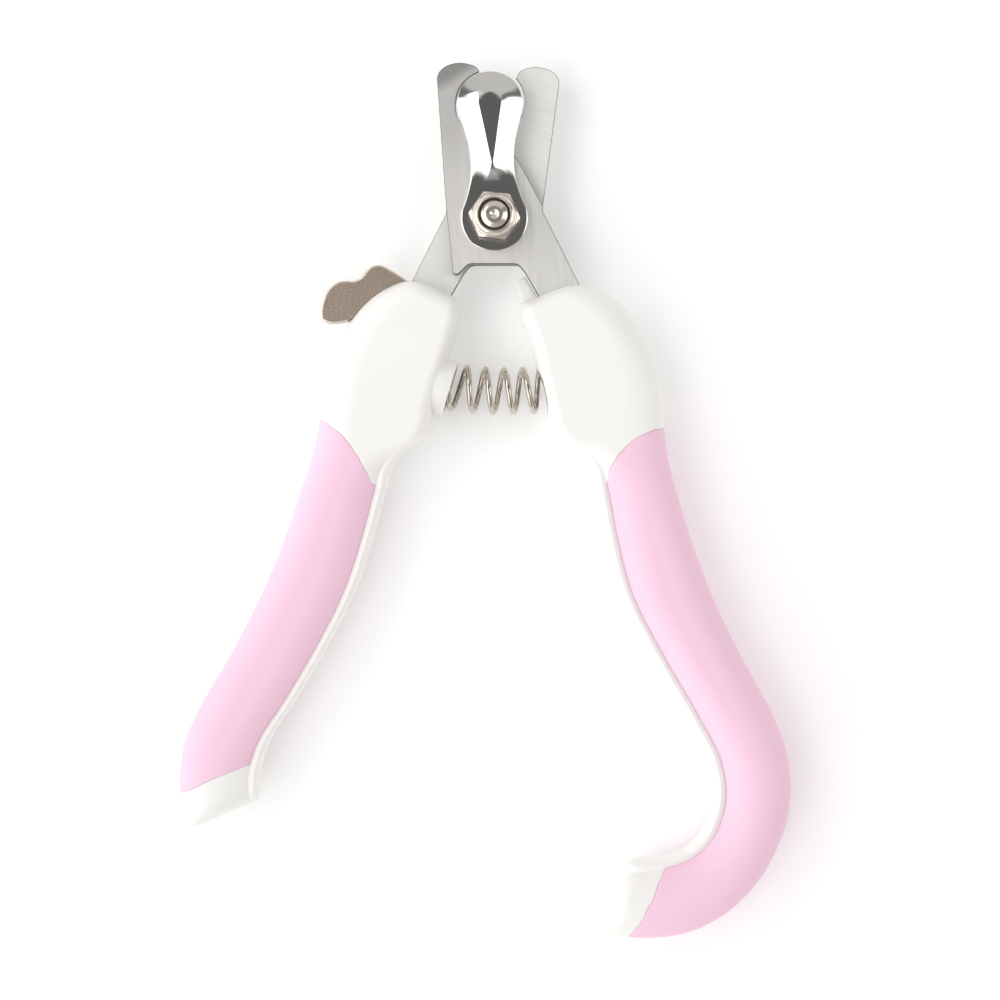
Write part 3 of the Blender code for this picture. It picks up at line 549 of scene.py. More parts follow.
def smooth(points, steps=6):
    """A smooth run through the points, as a list."""
    knots = chord_knots(points)
    fine = np.interp(np.linspace(0, len(knots) - 1, (len(knots) - 1) * steps + 1), range(len(knots)), knots)
    return [tuple(p) for p in follow(points, knots, fine)]


def arc(centre, radius, start, end, count):
    """Points on an arc, angles in degrees."""
    angles = np.radians(np.linspace(start, end, count + 1))
    return [(centre[0] + radius * math.cos(a), centre[1] + radius * math.sin(a)) for a in angles]


def join_runs(*runs):
    """One closed outline from runs that meet end to end."""
    outline = []
    for run in runs:
        for point in run:
            if not outline or math.dist(point, outline[-1]) > 0.02 * MM:
                outline.append(tuple(point))
    if math.dist(outline[0], outline[-1]) < 0.02 * MM:
        outline.pop()
    return outline


def piece(name, mesh, materials, crease=35.0):
    """A finished object in the scene."""
    made = bpy.data.objects.new(name, mesh)
    bpy.context.scene.collection.objects.link(made)
    mesh.materials.clear()
    for item in materials:
        mesh.materials.append(item)
    mesh.shade_smooth()
    mesh.set_sharp_from_angle(angle=math.radians(crease))
    return made


def mesh_from(shell, name):
    mesh = bpy.data.meshes.new(name)
    bmesh.ops.recalc_face_normals(shell, faces=shell.faces)
    shell.to_mesh(mesh)
    shell.free()
    return mesh


def evaluated_mesh(obj, name):
    """The mesh of an object with its modifiers or bevel worked in. The object is removed."""
    bpy.context.view_layer.update()
    depsgraph = bpy.context.evaluated_depsgraph_get()
    mesh = bpy.data.meshes.new_from_object(obj.evaluated_get(depsgraph))
    mesh.transform(obj.matrix_world)
    mesh.name = name
    bpy.data.objects.remove(obj, do_unlink=True)
    return mesh


def plate(name, outline, low, high, edge=0.0, steps=2):
    """The mesh of a flat outline from low to high, its rims rounded by edge."""
    curve = bpy.data.curves.new(name, "CURVE")
    curve.dimensions = "2D"
    curve.fill_mode = "BOTH"
    spline = curve.splines.new("POLY")
    spline.points.add(len(outline) - 1)
    for point, (x, y) in zip(spline.points, outline):
        point.co = (x, y, 0.0, 1.0)
    spline.use_cyclic_u = True
    curve.extrude = (high - low) / 2 - edge
    if edge:
        curve.bevel_depth = edge
        curve.bevel_resolution = steps
        curve.offset = -edge
    shape = bpy.data.objects.new(name, curve)
    bpy.context.scene.collection.objects.link(shape)
    shape.location.z = (low + high) / 2
    mesh = evaluated_mesh(shape, name)
    shell = bmesh.new()
    shell.from_mesh(mesh)
    bmesh.ops.remove_doubles(shell, verts=shell.verts, dist=0.002 * MM)
    bmesh.ops.dissolve_degenerate(shell, edges=shell.edges, dist=0.002 * MM)
    bmesh.ops.recalc_face_normals(shell, faces=shell.faces)
    shell.to_mesh(mesh)
    shell.free()
    return mesh


def lathe(name, profile, sides=96, closed=False):
    """The mesh of a profile of (radius, z) turned about the Z axis. A radius of 0 closes an end."""
    shell = bmesh.new()
    loops = []
    for radius, z in profile:
        if radius < 1e-7:
            loops.append([shell.verts.new((0.0, 0.0, z))])
        else:
            loops.append([
                shell.verts.new((radius * math.cos(a), radius * math.sin(a), z))
                for a in (2 * math.pi * i / sides for i in range(sides))
            ])
    pairs = list(zip(loops, loops[1:]))
    if closed:
        pairs.append((loops[-1], loops[0]))
    for one, two in pairs:
        bridge(shell, one, two)
    return mesh_from(shell, name)


def bridge(shell, one, two):
    """Faces between two rings of the same count, or between a ring and a single point."""
    count = max(len(one), len(two))
    for i in range(count):
        k = (i + 1) % count
        corners = [one[i % len(one)], one[k % len(one)], two[k % len(two)], two[i % len(two)]]
        corners = list(dict.fromkeys(corners))
        if len(corners) > 2:
            shell.faces.new(corners)


def boolean(obj, tool, operation="DIFFERENCE"):
    """Works a tool mesh into obj and removes it."""
    cutter = bpy.data.objects.new("tool", tool)
    bpy.context.scene.collection.objects.link(cutter)
    modifier = obj.modifiers.new("tool", "BOOLEAN")
    modifier.operation = operation
    modifier.solver = "EXACT"
    modifier.object = cutter
    obj.data = worked(obj, obj.data.name, *obj.data.materials)
    bpy.data.objects.remove(cutter, do_unlink=True)
    return obj


def worked(obj, name, *materials):
    """The object's mesh with its modifiers worked in, and the modifiers removed."""
    bpy.context.view_layer.update()
    mesh = bpy.data.meshes.new_from_object(obj.evaluated_get(bpy.context.evaluated_depsgraph_get()))
    obj.modifiers.clear()
    mesh.name = name
    mesh.materials.clear()
    for item in materials:
        mesh.materials.append(item)
    return mesh


def sheet_faces(shell, points):
    """Vertices and faces for a grid of points. Returns the vertices row by row."""
    grid = [[shell.verts.new(point) for point in row] for row in points]
    for one, two in zip(grid, grid[1:]):
        for j in range(len(one) - 1):
            shell.faces.new((one[j], one[j + 1], two[j + 1], two[j]))
    return grid


def rim_of(grid):
    """The vertices round the outside of a grid, in order."""
    return grid[0][:-1] + [row[-1] for row in grid[:-1]] + grid[-1][:0:-1] + [row[0] for row in grid[:0:-1]]


def moved_mesh(mesh, x=0.0, y=0.0, z=0.0):
    mesh.transform(Matrix.Translation((x, y, z)))
    return mesh


def place_on(obj, body, slot, *nodes):
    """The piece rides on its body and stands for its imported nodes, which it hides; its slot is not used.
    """
    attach(obj, body)
    if nodes:
        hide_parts(*nodes)
    return obj


# ------------------------------------------------------------------ handle surface

def rounding(distance, radius, power=2.2):
    """0 at an edge, 1 from radius inward, rising steeply like a rounded rim."""
    t = np.clip(distance / radius, 0.0, 1.0)
    return (1.0 - (1.0 - t)**power)**(1.0 / power)


def ease(value, low, high):
    t = np.clip((value - low) / (high - low), 0.0, 1.0)
    return t * t * (3 - 2 * t)


INNER_COLUMNS = [0.0, 0.03, 0.1, 0.22, 0.42, 0.7, 1.05, 1.45]
LIP_COLUMNS = [-0.42, -0.2, -0.03, 0.03, 0.2, 0.45, 0.9, 1.5, 2.3, 3.2, 4.3]
OUTER_COLUMNS = [6.2, 5.2, 4.2, 3.3, 2.5, 1.8, 1.2, 0.75, 0.4, 0.17, 0.04, 0.0]
FREE_COLUMNS = 5
END_ROWS = [0.0, 0.03, 0.12, 0.3, 0.6, 1.0, 1.5, 2.2, 3.0]
LINE_ROWS = [1.0, 0.45, 0.2, 0.03]
ROW_PITCH = 1.15 * MM
SAMPLES = 900


class HandleForm:
    """The surface of one handle: rows run from its head to its tail, columns from its inner side
    over the front to its outer side."""

    def __init__(self, sections, grip_top, grip_end, cove, corners, settings):
        self.settings = settings
        self.inner = np.array([metres([i])[0] for i, _ in sections])
        self.outer = np.array([metres([o])[0] for _, o in sections])
        self.knots = (chord_knots(self.inner) + chord_knots(self.outer)) / 2
        self.fine = np.linspace(0.0, self.knots[-1], SAMPLES)
        self.cove = [self.knots[i] for i in cove]
        self.corners = corners
        self.columns()
        self.rows(self.located(grip_top), self.located(grip_end))

    def sides(self, s):
        return follow(self.inner, self.knots, s), follow(self.outer, self.knots, s)

    def columns(self):
        """Each column's place across a section is p + q * (squeeze / width)."""
        lip = self.settings.lip
        near = [a * MM for a in INNER_COLUMNS] + [lip + a * MM for a in LIP_COLUMNS]
        far = [b * MM for b in OUTER_COLUMNS]
        free = [(i + 1) / (FREE_COLUMNS + 1) for i in range(FREE_COLUMNS)]
        self.p = np.array([0.0] * len(near) + free + [1.0] * len(far))
        self.q = np.array(near + [(1 - m) * near[-1] - m * far[0] for m in free] + [-b for b in far])
        self.reach = near[-1] + far[0] + 1.5 * MM
        self.first_grip_column = len(INNER_COLUMNS) + LIP_COLUMNS.index(0.03)

    def across(self, s):
        """Column places u for an array of s with one column of values for each column of the grid."""
        inner, outer = self.sides(s)
        width = np.linalg.norm(outer - inner, axis=-1)
        squeeze = np.minimum(1.0, width / self.reach)
        return self.p + self.q * squeeze / width, inner, outer, width, squeeze

    def located(self, points):
        """Points of the plan as (u, s), sorted by u."""
        inner, outer = self.sides(self.fine)
        found = []
        for x, y in metres(points):
            to_point = np.array([x, y]) - inner
            over = outer - inner
            cross = over[:, 0] * to_point[:, 1] - over[:, 1] * to_point[:, 0]
            u = np.einsum("ij,ij->i", over, to_point) / np.einsum("ij,ij->i", over, over)
            hits = [i for i in range(SAMPLES - 1) if cross[i] * cross[i + 1] <= 0 and -0.15 < u[i] < 1.15]
            i = hits[0]
            t = cross[i] / (cross[i] - cross[i + 1])
            found.append((u[i], self.fine[i] + t * (self.fine[i + 1] - self.fine[i])))
        return sorted(found)

    def rows(self, top, end):
        """Row distances along every column, lined up with the grip's two ends."""
        count = len(self.p)
        s = np.repeat(self.fine[:, None], count, axis=1)
        u, inner, outer, width, _ = self.across(s)
        path = inner + (outer - inner) * u[..., None]
        steps = np.linalg.norm(np.diff(path, axis=0), axis=-1)
        length = np.vstack([np.zeros(count), np.cumsum(steps, axis=0)])
        marks = []
        for line in (top, end):
            us, ss = zip(*line)
            wanted = np.interp(u, us, ss)
            index = np.argmax(s >= wanted, axis=0)
            marks.append(length[index, np.arange(count)])
        total = length[-1]
        blocks = [np.zeros(count), marks[0], marks[1], total]
        places = []
        for k in range(3):
            start, stop = blocks[k], blocks[k + 1]
            ahead = [a * MM for a in (END_ROWS if k == 0 else LINE_ROWS[::-1])]
            behind = [a * MM for a in (END_ROWS[::-1] if k == 2 else LINE_ROWS)]
            middle = (stop - start).mean() - ahead[-1] - behind[0]
            number = max(int(middle / ROW_PITCH), 2)
            inside = [(i + 1) / (number + 1) for i in range(number)]
            room = stop - start
            tight = np.minimum(1.0, room / (ahead[-1] + behind[0] + 1.5 * MM))
            for a in ahead:
                places.append(start + a * tight)
            for t in inside:
                low, high = start + ahead[-1] * tight, stop - behind[0] * tight
                places.append(low + (high - low) * t)
            for b in behind:
                places.append(stop - b * tight)
            if k == 0:
                self.first_grip_row = len(places)
            if k == 1:
                self.last_grip_row = len(places) - 1
        self.length = np.array(places)
        self.total = total
        self.marks = marks
        lines = [np.interp(self.length[:, j], length[:, j], self.fine) for j in range(count)]
        self.s = np.stack(lines, axis=1)
        self.surface()

    def surface(self):
        u, inner, outer, width, squeeze = self.across(self.s)
        over = (outer - inner) / width[..., None]
        plan = inner + (outer - inner) * u[..., None]
        along = np.gradient(plan, axis=0)
        along /= np.linalg.norm(along, axis=-1, keepdims=True)
        near, far = u * width, (1 - u) * width
        head, tail = self.length, self.total - self.length
        height = self.section_height(near, far, squeeze)
        height *= rounding(head, self.settings.end_round) * rounding(tail, self.settings.end_round)
        for (a, side_a), (b, side_b), radius in (
            ((near, 1), (head, 1), self.corners[0]), ((far, -1), (head, 1), self.corners[1]),
            ((near, 1), (tail, -1), self.corners[2]), ((far, -1), (tail, -1), self.corners[3]),
        ):
            x = np.clip(1 - a / (radius * MM), 0, 1)
            y = np.clip(1 - b / (radius * MM), 0, 1)
            shift_a = radius * MM * x * (1 - np.sqrt(1 - y * y / 2))
            shift_b = radius * MM * y * (1 - np.sqrt(1 - x * x / 2))
            plan = plan + over * (side_a * shift_a)[..., None] + along * (side_b * shift_b)[..., None]
        self.points = np.concatenate([plan, (height * HALF)[..., None]], axis=-1)
        self.normals = self.normals_of(self.points)
        self.distance = self.line_distance(near)

    def section_height(self, near, far, squeeze):
        """Height over the mid-plane, as a share of the half thickness."""
        settings = self.settings
        head = rounding(near, settings.head_round * squeeze, 2.3)
        lip = settings.lip_rise * rounding(near, 1.2 * MM) - 0.07 * ease(near, 1.2 * MM, settings.lip)
        valley = settings.lip_rise - 0.07
        rise = 1.0 - (1.0 - np.clip((near - settings.lip) / (6.0 * MM), 0, 1))**2.3
        grip = np.where(near < settings.lip, lip, valley + (1 - valley) * rise)
        weight = ease(self.s, *self.cove)
        return (head * (1 - weight) + grip * weight) * rounding(far, settings.outer_round * squeeze, 2.1)

    def normals_of(self, points):
        """Unit normals, taking the mirrored back half into account at the edges."""
        flip = np.array([1.0, 1.0, -1.0])
        padded = np.concatenate([points[:, 1:2] * flip, points, points[:, -2:-1] * flip], axis=1)
        padded = np.concatenate([padded[1:2] * flip, padded, padded[-2:-1] * flip], axis=0)
        du = padded[1:-1, 2:] - padded[1:-1, :-2]
        dv = padded[2:, 1:-1] - padded[:-2, 1:-1]
        normals = np.cross(du, dv)
        normals /= np.maximum(np.linalg.norm(normals, axis=-1, keepdims=True), 1e-12)
        middle = normals[normals.shape[0] // 2, normals.shape[1] // 2, 2]
        return normals * (1.0 if middle > 0 else -1.0)

    def line_distance(self, near):
        """Distance of each point from the line between the grip and the hard plastic."""
        beyond = np.maximum(self.marks[0] - self.length, self.length - self.marks[1])
        inside = self.settings.lip - near
        outside = np.hypot(np.maximum(beyond, 0), np.maximum(inside, 0))
        return np.where((beyond > 0) | (inside > 0), outside, np.minimum(-beyond, -inside))

    def groove(self, reach):
        depth = self.settings.groove * np.exp(-(self.distance / reach)**2)
        return self.points - self.normals * depth[..., None]

    def hard_half(self, side):
        """The mesh of one hard half: its outer face, recessed under the grip, and its flat joint face."""
        points = self.groove(0.22 * MM)
        recess = np.zeros(points.shape[:2])
        recess[self.first_grip_row:self.last_grip_row + 1, self.first_grip_column:] = 1.0
        sunk = self.settings.grip_wall + 0.1 * MM
        points = points - self.normals * (recess * sunk)[..., None]
        points[..., 2] = MID + side * np.maximum(PARTING + points[..., 2] * (1 - PARTING / HALF), PARTING)
        shell = bmesh.new()
        shell.faces.new(rim_of(sheet_faces(shell, points)))
        bmesh.ops.remove_doubles(shell, verts=shell.verts, dist=0.001 * MM)
        return mesh_from(shell, "hard_half")

    def grip_sheet(self):
        """The mesh of the soft grip's outer face, over the front, round the outer side and over the back."""
        points = self.groove(0.3 * MM)
        part = points[self.first_grip_row:self.last_grip_row + 1, self.first_grip_column:]
        back = part[:, -2::-1] * np.array([1.0, 1.0, -1.0])
        sheet = np.concatenate([part, back], axis=1)
        sheet[..., 2] += MID
        shell = bmesh.new()
        sheet_faces(shell, sheet)
        return mesh_from(shell, "grip_sheet")


# ------------------------------------------------------------------ handles

FORMS = {
    "left": (LEFT_SECTIONS, LEFT_GRIP_TOP, LEFT_GRIP_END, (5, 8), (0.9, 3.0, 1.0, 2.6)),
    "right": (RIGHT_SECTIONS, RIGHT_GRIP_TOP, RIGHT_GRIP_END, (5, 8), (0.9, 3.0, 1.2, 1.6)),
}
SIDES = {"left": -1.0, "right": 1.0}


def handle_form(name):
    return HandleForm(*FORMS[name], bpy.context.scene.clipper_handles)


def on_side(name, points):
    """Points in metres, drawn for the right, on the named side."""
    return [(SIDES[name] * x, y) for x, y in metres(points)]


def grown(outline, distance):
    """The outline moved outward everywhere by distance."""
    ring = np.array(outline)
    before, after = np.roll(ring, 1, axis=0), np.roll(ring, -1, axis=0)
    tangent = after - before
    normal = np.stack([tangent[:, 1], -tangent[:, 0]], axis=1)
    normal /= np.linalg.norm(normal, axis=1, keepdims=True)
    area = np.sum(ring[:, 0] * after[:, 1] - after[:, 0] * ring[:, 1])
    return [tuple(p) for p in ring + normal * distance * np.sign(area)]


def spring_places():
    """The spring's centreline: its middle, the centre of its bow and the bow's radius."""
    settings = bpy.context.scene.clipper_spring
    left, right = Vector(SPRING_LEFT) * MM, Vector(SPRING_RIGHT) * MM
    half = (right - left).length / 2
    radius = (half**2 + settings.bow**2) / (2 * settings.bow)
    across = (right - left).normalized()
    up = Vector((-across.y, across.x))
    middle = (left + right) / 2 - up * settings.bow
    return middle + up * radius, across, up, radius


def on_spring(distance, height=0.0, front=0.0):
    """A point by its distance along the centreline, its height above that line and its front offset."""
    centre, across, up, radius = spring_places()
    angle = distance / radius
    place = centre + (across * math.sin(angle) - up * math.cos(angle)) * (radius - height)
    return Vector((place.x, place.y, MID + front))


def spring_tool(name, profile, at, turn=0.0):
    """A profile of (radius, distance) turned about the spring's axis at one of its ends."""
    mesh = lathe(name, profile, 64)
    ahead = on_spring(at + 1 * MM) - on_spring(at)
    axis = Matrix.Rotation(turn, 4, "Z") @ ahead.to_track_quat("Z", "Y").to_matrix().to_4x4()
    mesh.transform(Matrix.Translation(on_spring(at)) @ axis)
    return mesh


def build_hard_halves(name, material):
    """Both hard halves of one handle, cut for all that they hold."""
    form = handle_form(name)
    spring = bpy.context.scene.clipper_spring
    seat = spring.outer / 2 + 0.15 * MM
    left = name == "left"
    end = -SPRING_HALF if left else SPRING_HALF
    outward = 1.0 if left else -1.0
    pocket = [(0.0, -outward * 0.3 * MM), (seat, -outward * 0.3 * MM), (seat, outward * 9 * MM),
              (0.0, outward * 9 * MM)]
    tang = join_runs(on_side(name, smooth(TANG, 2) + ARCH[:1]), on_side(name, [(5.2, -9.0), (13.8, -9.0)]))
    for half, side in (("front", 1.0), ("rear", -1.0)):
        node = f"{name}_core_{half}"
        made = piece(f"{name}_hard_{half}", form.hard_half(side), [material])
        if left:
            rim = seat + 0.62 * MM
            cup = [(0.0, -1.5 * MM), (rim, -1.5 * MM), (rim, 4.25 * MM), (rim - 0.12 * MM, 4.45 * MM),
                   (rim - 0.3 * MM, 4.5 * MM), (0.0, 4.5 * MM)]
            boolean(made, spring_tool("cup", cup, end, math.radians(-5.0)), "UNION")
            boolean(made, half_space(side))
        if node == "right_core_rear":
            outline = smooth(metres(TONGUE + TONGUE[:1]), 1)[:-1]
            tongue = plate("tongue", outline, 2.2 * MM, MID - PARTING, 0.25 * MM)
            boolean(made, tongue, "UNION")
        boolean(made, spring_tool("pocket", pocket, end))
        if node in ("left_core_rear", "right_core_front"):
            low, high = (REAR_LOW, MID + MM) if left else (MID - MM, FRONT_TOP)
            room = 0.12 * MM
            boolean(made, plate("pocket", grown(tang, room), low - room, high + room))
        for node_name in (f"{name}_tang_pin_upper", f"{name}_tang_pin_lower"):
            boolean(made, pin_room(node_name))
        if left:
            boolean(made, pin_room("lever_pin"))
            if side > 0:
                boolean(made, plate("slot", lever_sweep(), MID - MM, FRONT_TOP + 0.25 * MM))
                boolean(made, pin_room("lever_washer", 0.15 * MM))
        refine(made)
        place_on(made, f"{name}_handle", "white_plastic", node)


def half_space(side):
    """A big block on the other side of the handles' joint plane, to cut a half back to it."""
    reach = 0.3
    low, high = (-reach, MID + PARTING) if side > 0 else (MID - PARTING, reach)
    return plate("block", [(-reach, -reach), (reach, -reach), (reach, reach), (-reach, reach)], low, high)


def pin_room(node, gap=0.1 * MM):
    """A round hole for a packed pin or washer."""
    low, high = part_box(node)
    centre = (low + high) / 2
    radius = (high.x - low.x) / 2 + gap
    return moved_mesh(rod("room", radius, low.z - gap, high.z + gap, 40), centre.x, centre.y)


def rod(name, radius, low, high, sides=64):
    """The mesh of a plain cylinder about the Z axis."""
    return lathe(name, [(0.0, low), (radius, low), (radius, high), (0.0, high)], sides)


def lever_sweep():
    """The room that the lever needs inside the left handle as it turns."""
    hub = 3.9 * MM
    return join_runs(
        arc(LEVER_CENTRE, hub, -28.0, -95.0, 12),
        metres(LEVER_ROOM),
        arc(LEVER_CENTRE, 26.0 * MM, 175.0, 62.0, 24),
    )


def refine(obj):
    """Welds the slivers that cutting leaves, and shades the piece smooth round its curves."""
    shell = bmesh.new()
    shell.from_mesh(obj.data)
    bmesh.ops.dissolve_degenerate(shell, edges=shell.edges, dist=0.0005 * MM)
    bmesh.ops.triangulate(shell, faces=[face for face in shell.faces if len(face.verts) > 4])
    bmesh.ops.recalc_face_normals(shell, faces=shell.faces)
    shell.to_mesh(obj.data)
    shell.free()
    obj.data.shade_smooth()
    obj.data.set_sharp_from_angle(angle=math.radians(38.0))
    keep_flat(obj.data)


def keep_flat(mesh):
    """Marks the rims of level faces sharp, so that their shading stays flat."""
    shell = bmesh.new()
    shell.from_mesh(mesh)
    for edge in shell.edges:
        level = [abs(face.normal.z) > 0.99999 for face in edge.link_faces]
        if any(level) and not all(level):
            edge.smooth = False
    shell.to_mesh(mesh)
    shell.free()


def build_grip(name, material):
    """One soft grip: a sheet wrapped round the handle, with the grip's wall."""
    form = handle_form(name)
    made = piece(f"{name}_soft_grip", form.grip_sheet(), [material])
    wall = made.modifiers.new("wall", "SOLIDIFY")
    wall.thickness = bpy.context.scene.clipper_handles.grip_wall
    wall.offset = -1.0
    made.data = worked(made, f"{name}_soft_grip", material)
    refine(made)
    return place_on(made, f"{name}_handle", "pink_rubber", f"{name}_grip")


# ------------------------------------------------------------------ blades

def blade_outline(side, jaw, jaw_end, mouth, span):
    hollow = arc(metres([mouth])[0], MOUTH_RADIUS * MM, *span, 40)
    tang = smooth([FLANK[-1]] + TANG[1:] + ARCH[:1], 5)
    outline = join_runs(metres(jaw), smooth(metres(jaw_end), 4), hollow, metres(FLANK), metres(tang),
                        metres(ARCH))
    return [(side * x, y) for x, y in outline]


def build_blade(node, side, jaw, jaw_end, mouth, span, low, high, materials):
    """A stamped blade: rounded rims, holes, and the cutting edge ground away from the other blade."""
    settings = bpy.context.scene.clipper_steel
    outline = blade_outline(side, jaw, jaw_end, mouth, span)
    made = piece(f"{node}_steel", plate(node, outline, low, high, settings.edge), materials)
    centre = (side * mouth[0] * MM, mouth[1] * MM)
    near, far = (low, high) if side > 0 else (high, low)
    lean = far - near
    flat = near + 0.25 * lean
    hollow = MOUTH_RADIUS * MM
    beyond = far + 0.3 * (far - flat)
    mouth_top = hollow + settings.grind * 1.3
    cone = lathe("grind", [(0.0, flat), (hollow, flat), (mouth_top, beyond), (0.0, beyond)], 160)
    boolean(made, moved_mesh(cone, *centre))
    boolean(made, rod("bore", BORE, -MM, 20 * MM))
    body = "right" if side > 0 else "left"
    pins = [f"{body}_tang_pin_upper", f"{body}_tang_pin_lower"] + (["lever_pin"] if body == "left" else [])
    for pin in pins:
        boolean(made, pin_room(pin))
    for face in made.data.polygons:
        # The rounded rims and walls take the dark wall finish: painted shade along the blades' edges.
        face.material_index = 0 if abs(face.normal.z) > 0.97 else 1
        outside = math.dist(face.center[:2], centre) - hollow
        ground = 0.1 < abs(face.normal.z) < 0.4 and abs(outside - settings.grind / 2) < settings.grind
        if side < 0 and ground:
            face.material_index = 2
    refine(made)
    return place_on(made, f"{body}_handle", "blade_steel", node)


# ------------------------------------------------------------------ guard

def guard_form():
    """Points of the guard's upper face, their rise over the pad and their distance from the sheet's edge."""
    shape = np.array(GUARD_SHAPE)
    y = np.linspace(0.0, GUARD_TIP[0], 110)
    _, half, height, flat = follow(shape, shape[:, 0], y).T
    height = np.maximum(height, 0.0)
    crease, rim = 0.09, np.array([0.32, 0.22, 0.15, 0.08, 0.02, 0.0])
    columns = [c * (flat - crease) for c in (0.0, 0.3, 0.6, 0.85, 1.0)]
    columns += [flat, flat + crease]
    columns += [flat + crease + f * (half - rim[0] - flat - crease) for f in (0.12, 0.28, 0.45, 0.62, 0.8)]
    columns += [half - e for e in rim]
    right = np.stack(columns, axis=1)
    x = np.concatenate([-right[:, :0:-1], right], axis=1)
    raised = np.clip((half[:, None] - np.abs(x)) / (half - flat)[:, None], 0.0, 1.0)
    edge = half[:, None] - np.abs(x)
    body = (x, np.repeat(y[:, None], x.shape[1], axis=1), raised * height[:, None], edge)

    ends = []
    for row, reach, along in ((0, GUARD_PAD, -1.0), (-1, GUARD_TIP[1], 1.0)):
        u = x[row] / half[row]
        v = np.concatenate([np.linspace(0.03, 0.94, 26), 1.0 - rim[1:] / reach])[:, None]
        ex = half[row] * u * np.sqrt(1 - v * v / 2)
        ey = y[row] + along * reach * v * np.sqrt(1 - u * u / 2)
        soft = ease(v, 0.0, 0.35)
        fall = 1 - ease(v, 0.26 - 0.26 * np.abs(u), 1.25) * 1.12
        rise = height[row] * (raised[row] * (1 - soft) + (1 - u * u) * soft) * fall
        away = np.minimum(half[row] * (1 - np.abs(u)), reach * (1 - v))
        parts = (ex, ey, np.maximum(rise, 0), away)
        ends.append([np.broadcast_to(part, v.shape[:1] + u.shape) for part in parts])
    pad, tip = ends
    return [np.concatenate([one[::-1], two, three]) for one, two, three in zip(pad, body, tip)]


def closed_sheet(upper, lower, name):
    """A closed mesh between two grids of points of the same size."""
    shell = bmesh.new()
    rims = [rim_of(sheet_faces(shell, points)) for points in (upper, lower)]
    bridge(shell, *rims)
    return mesh_from(shell, name)


def build_guard(material, wall):
    """The pressed guard: a round pad, a creased roof and a domed tip, with its rims dark in painted shade,
    left lit towards the tip's right side.
    """
    x, y, rise, edge = guard_form()
    low = GUARD_LOW - 0.2 * MM
    inset = np.clip(edge, 0.0, GUARD_CORNER)
    drop = GUARD_CORNER - np.sqrt(np.maximum(GUARD_CORNER**2 - (GUARD_CORNER - inset)**2, 0.0))
    upper = np.stack([x, y, GUARD_WALL + rise - drop], axis=-1) * MM
    lower = np.stack([x, y, rise + drop], axis=-1) * MM
    mesh = closed_sheet(upper, lower, "safety_guard_steel")
    mesh.transform(Matrix.Translation((0.0, 0.0, low)) @ Matrix.Rotation(GUARD_LEAN, 4, "Z"))
    made = piece("safety_guard_steel", mesh, [material, wall], 60.0)
    away = np.concatenate([edge.ravel(), edge.ravel()])
    # Painted shade: the rims take the dark wall finish, except towards the tip's right side where the light
    # falls.
    for face in made.data.polygons:
        lit_rim = face.center.y > 17.0 * MM and face.center.x > 0
        if np.mean(away[list(face.vertices)]) < GUARD_CORNER / 2.1 and not lit_rim:
            face.material_index = 1
    boolean(made, rod("bore", BORE, low - MM, NUT_LOW))
    made.data.shade_smooth()
    made.data.set_sharp_from_angle(angle=math.radians(60.0))
    return place_on(made, "guard", "polished_steel", "safety_guard")


# ------------------------------------------------------------------ pivot

def build_bolt(material):
    """The pivot bolt: a low domed head under the washer, and a rounded, centre-drilled end."""
    end = [(0.0, -0.5), (0.22, -0.42), (0.6, -0.12), (0.85, -0.02), (1.05, 0.0), (1.4, -0.03),
           (1.75, -0.12), (2.0, -0.25), (2.3, -0.46), (2.44, -0.62), (2.5, -0.72)]
    neck, rim, dome = 0.15 * MM, 0.2 * MM, 1.0 * MM
    profile = [(radius * MM, BOLT_TOP + drop * MM) for radius, drop in end]
    profile += [(SHANK, HEAD_TOP + neck), (SHANK + neck, HEAD_TOP), (HEAD - rim, HEAD_TOP)]
    profile += arc((HEAD - rim, HEAD_TOP - rim), rim, 90, 0, 6)
    profile += arc((HEAD - dome, dome), dome, 0, -82, 10)
    profile += [(2.4 * MM, 0.0), (0.0, 0.0)]
    made = piece("pivot_bolt_nickel", lathe("pivot_bolt_nickel", profile, 96), [material], 42.0)
    return place_on(made, "left_handle", "nickel", "pivot_bolt")


def nut_loop(limit, z, sides):
    """A loop of the nut's hexagon, cut back to limit where it stands out further."""
    loop = []
    for i in range(sides):
        angle = 2 * math.pi * i / sides
        corner = (angle + math.pi / 6) % (math.pi / 3) - math.pi / 6
        radius = min(NUT_FLAT / math.cos(math.pi / 6 - abs(corner)), limit)
        loop.append((radius * math.cos(angle + NUT_TURN), radius * math.sin(angle + NUT_TURN), z))
    return loop


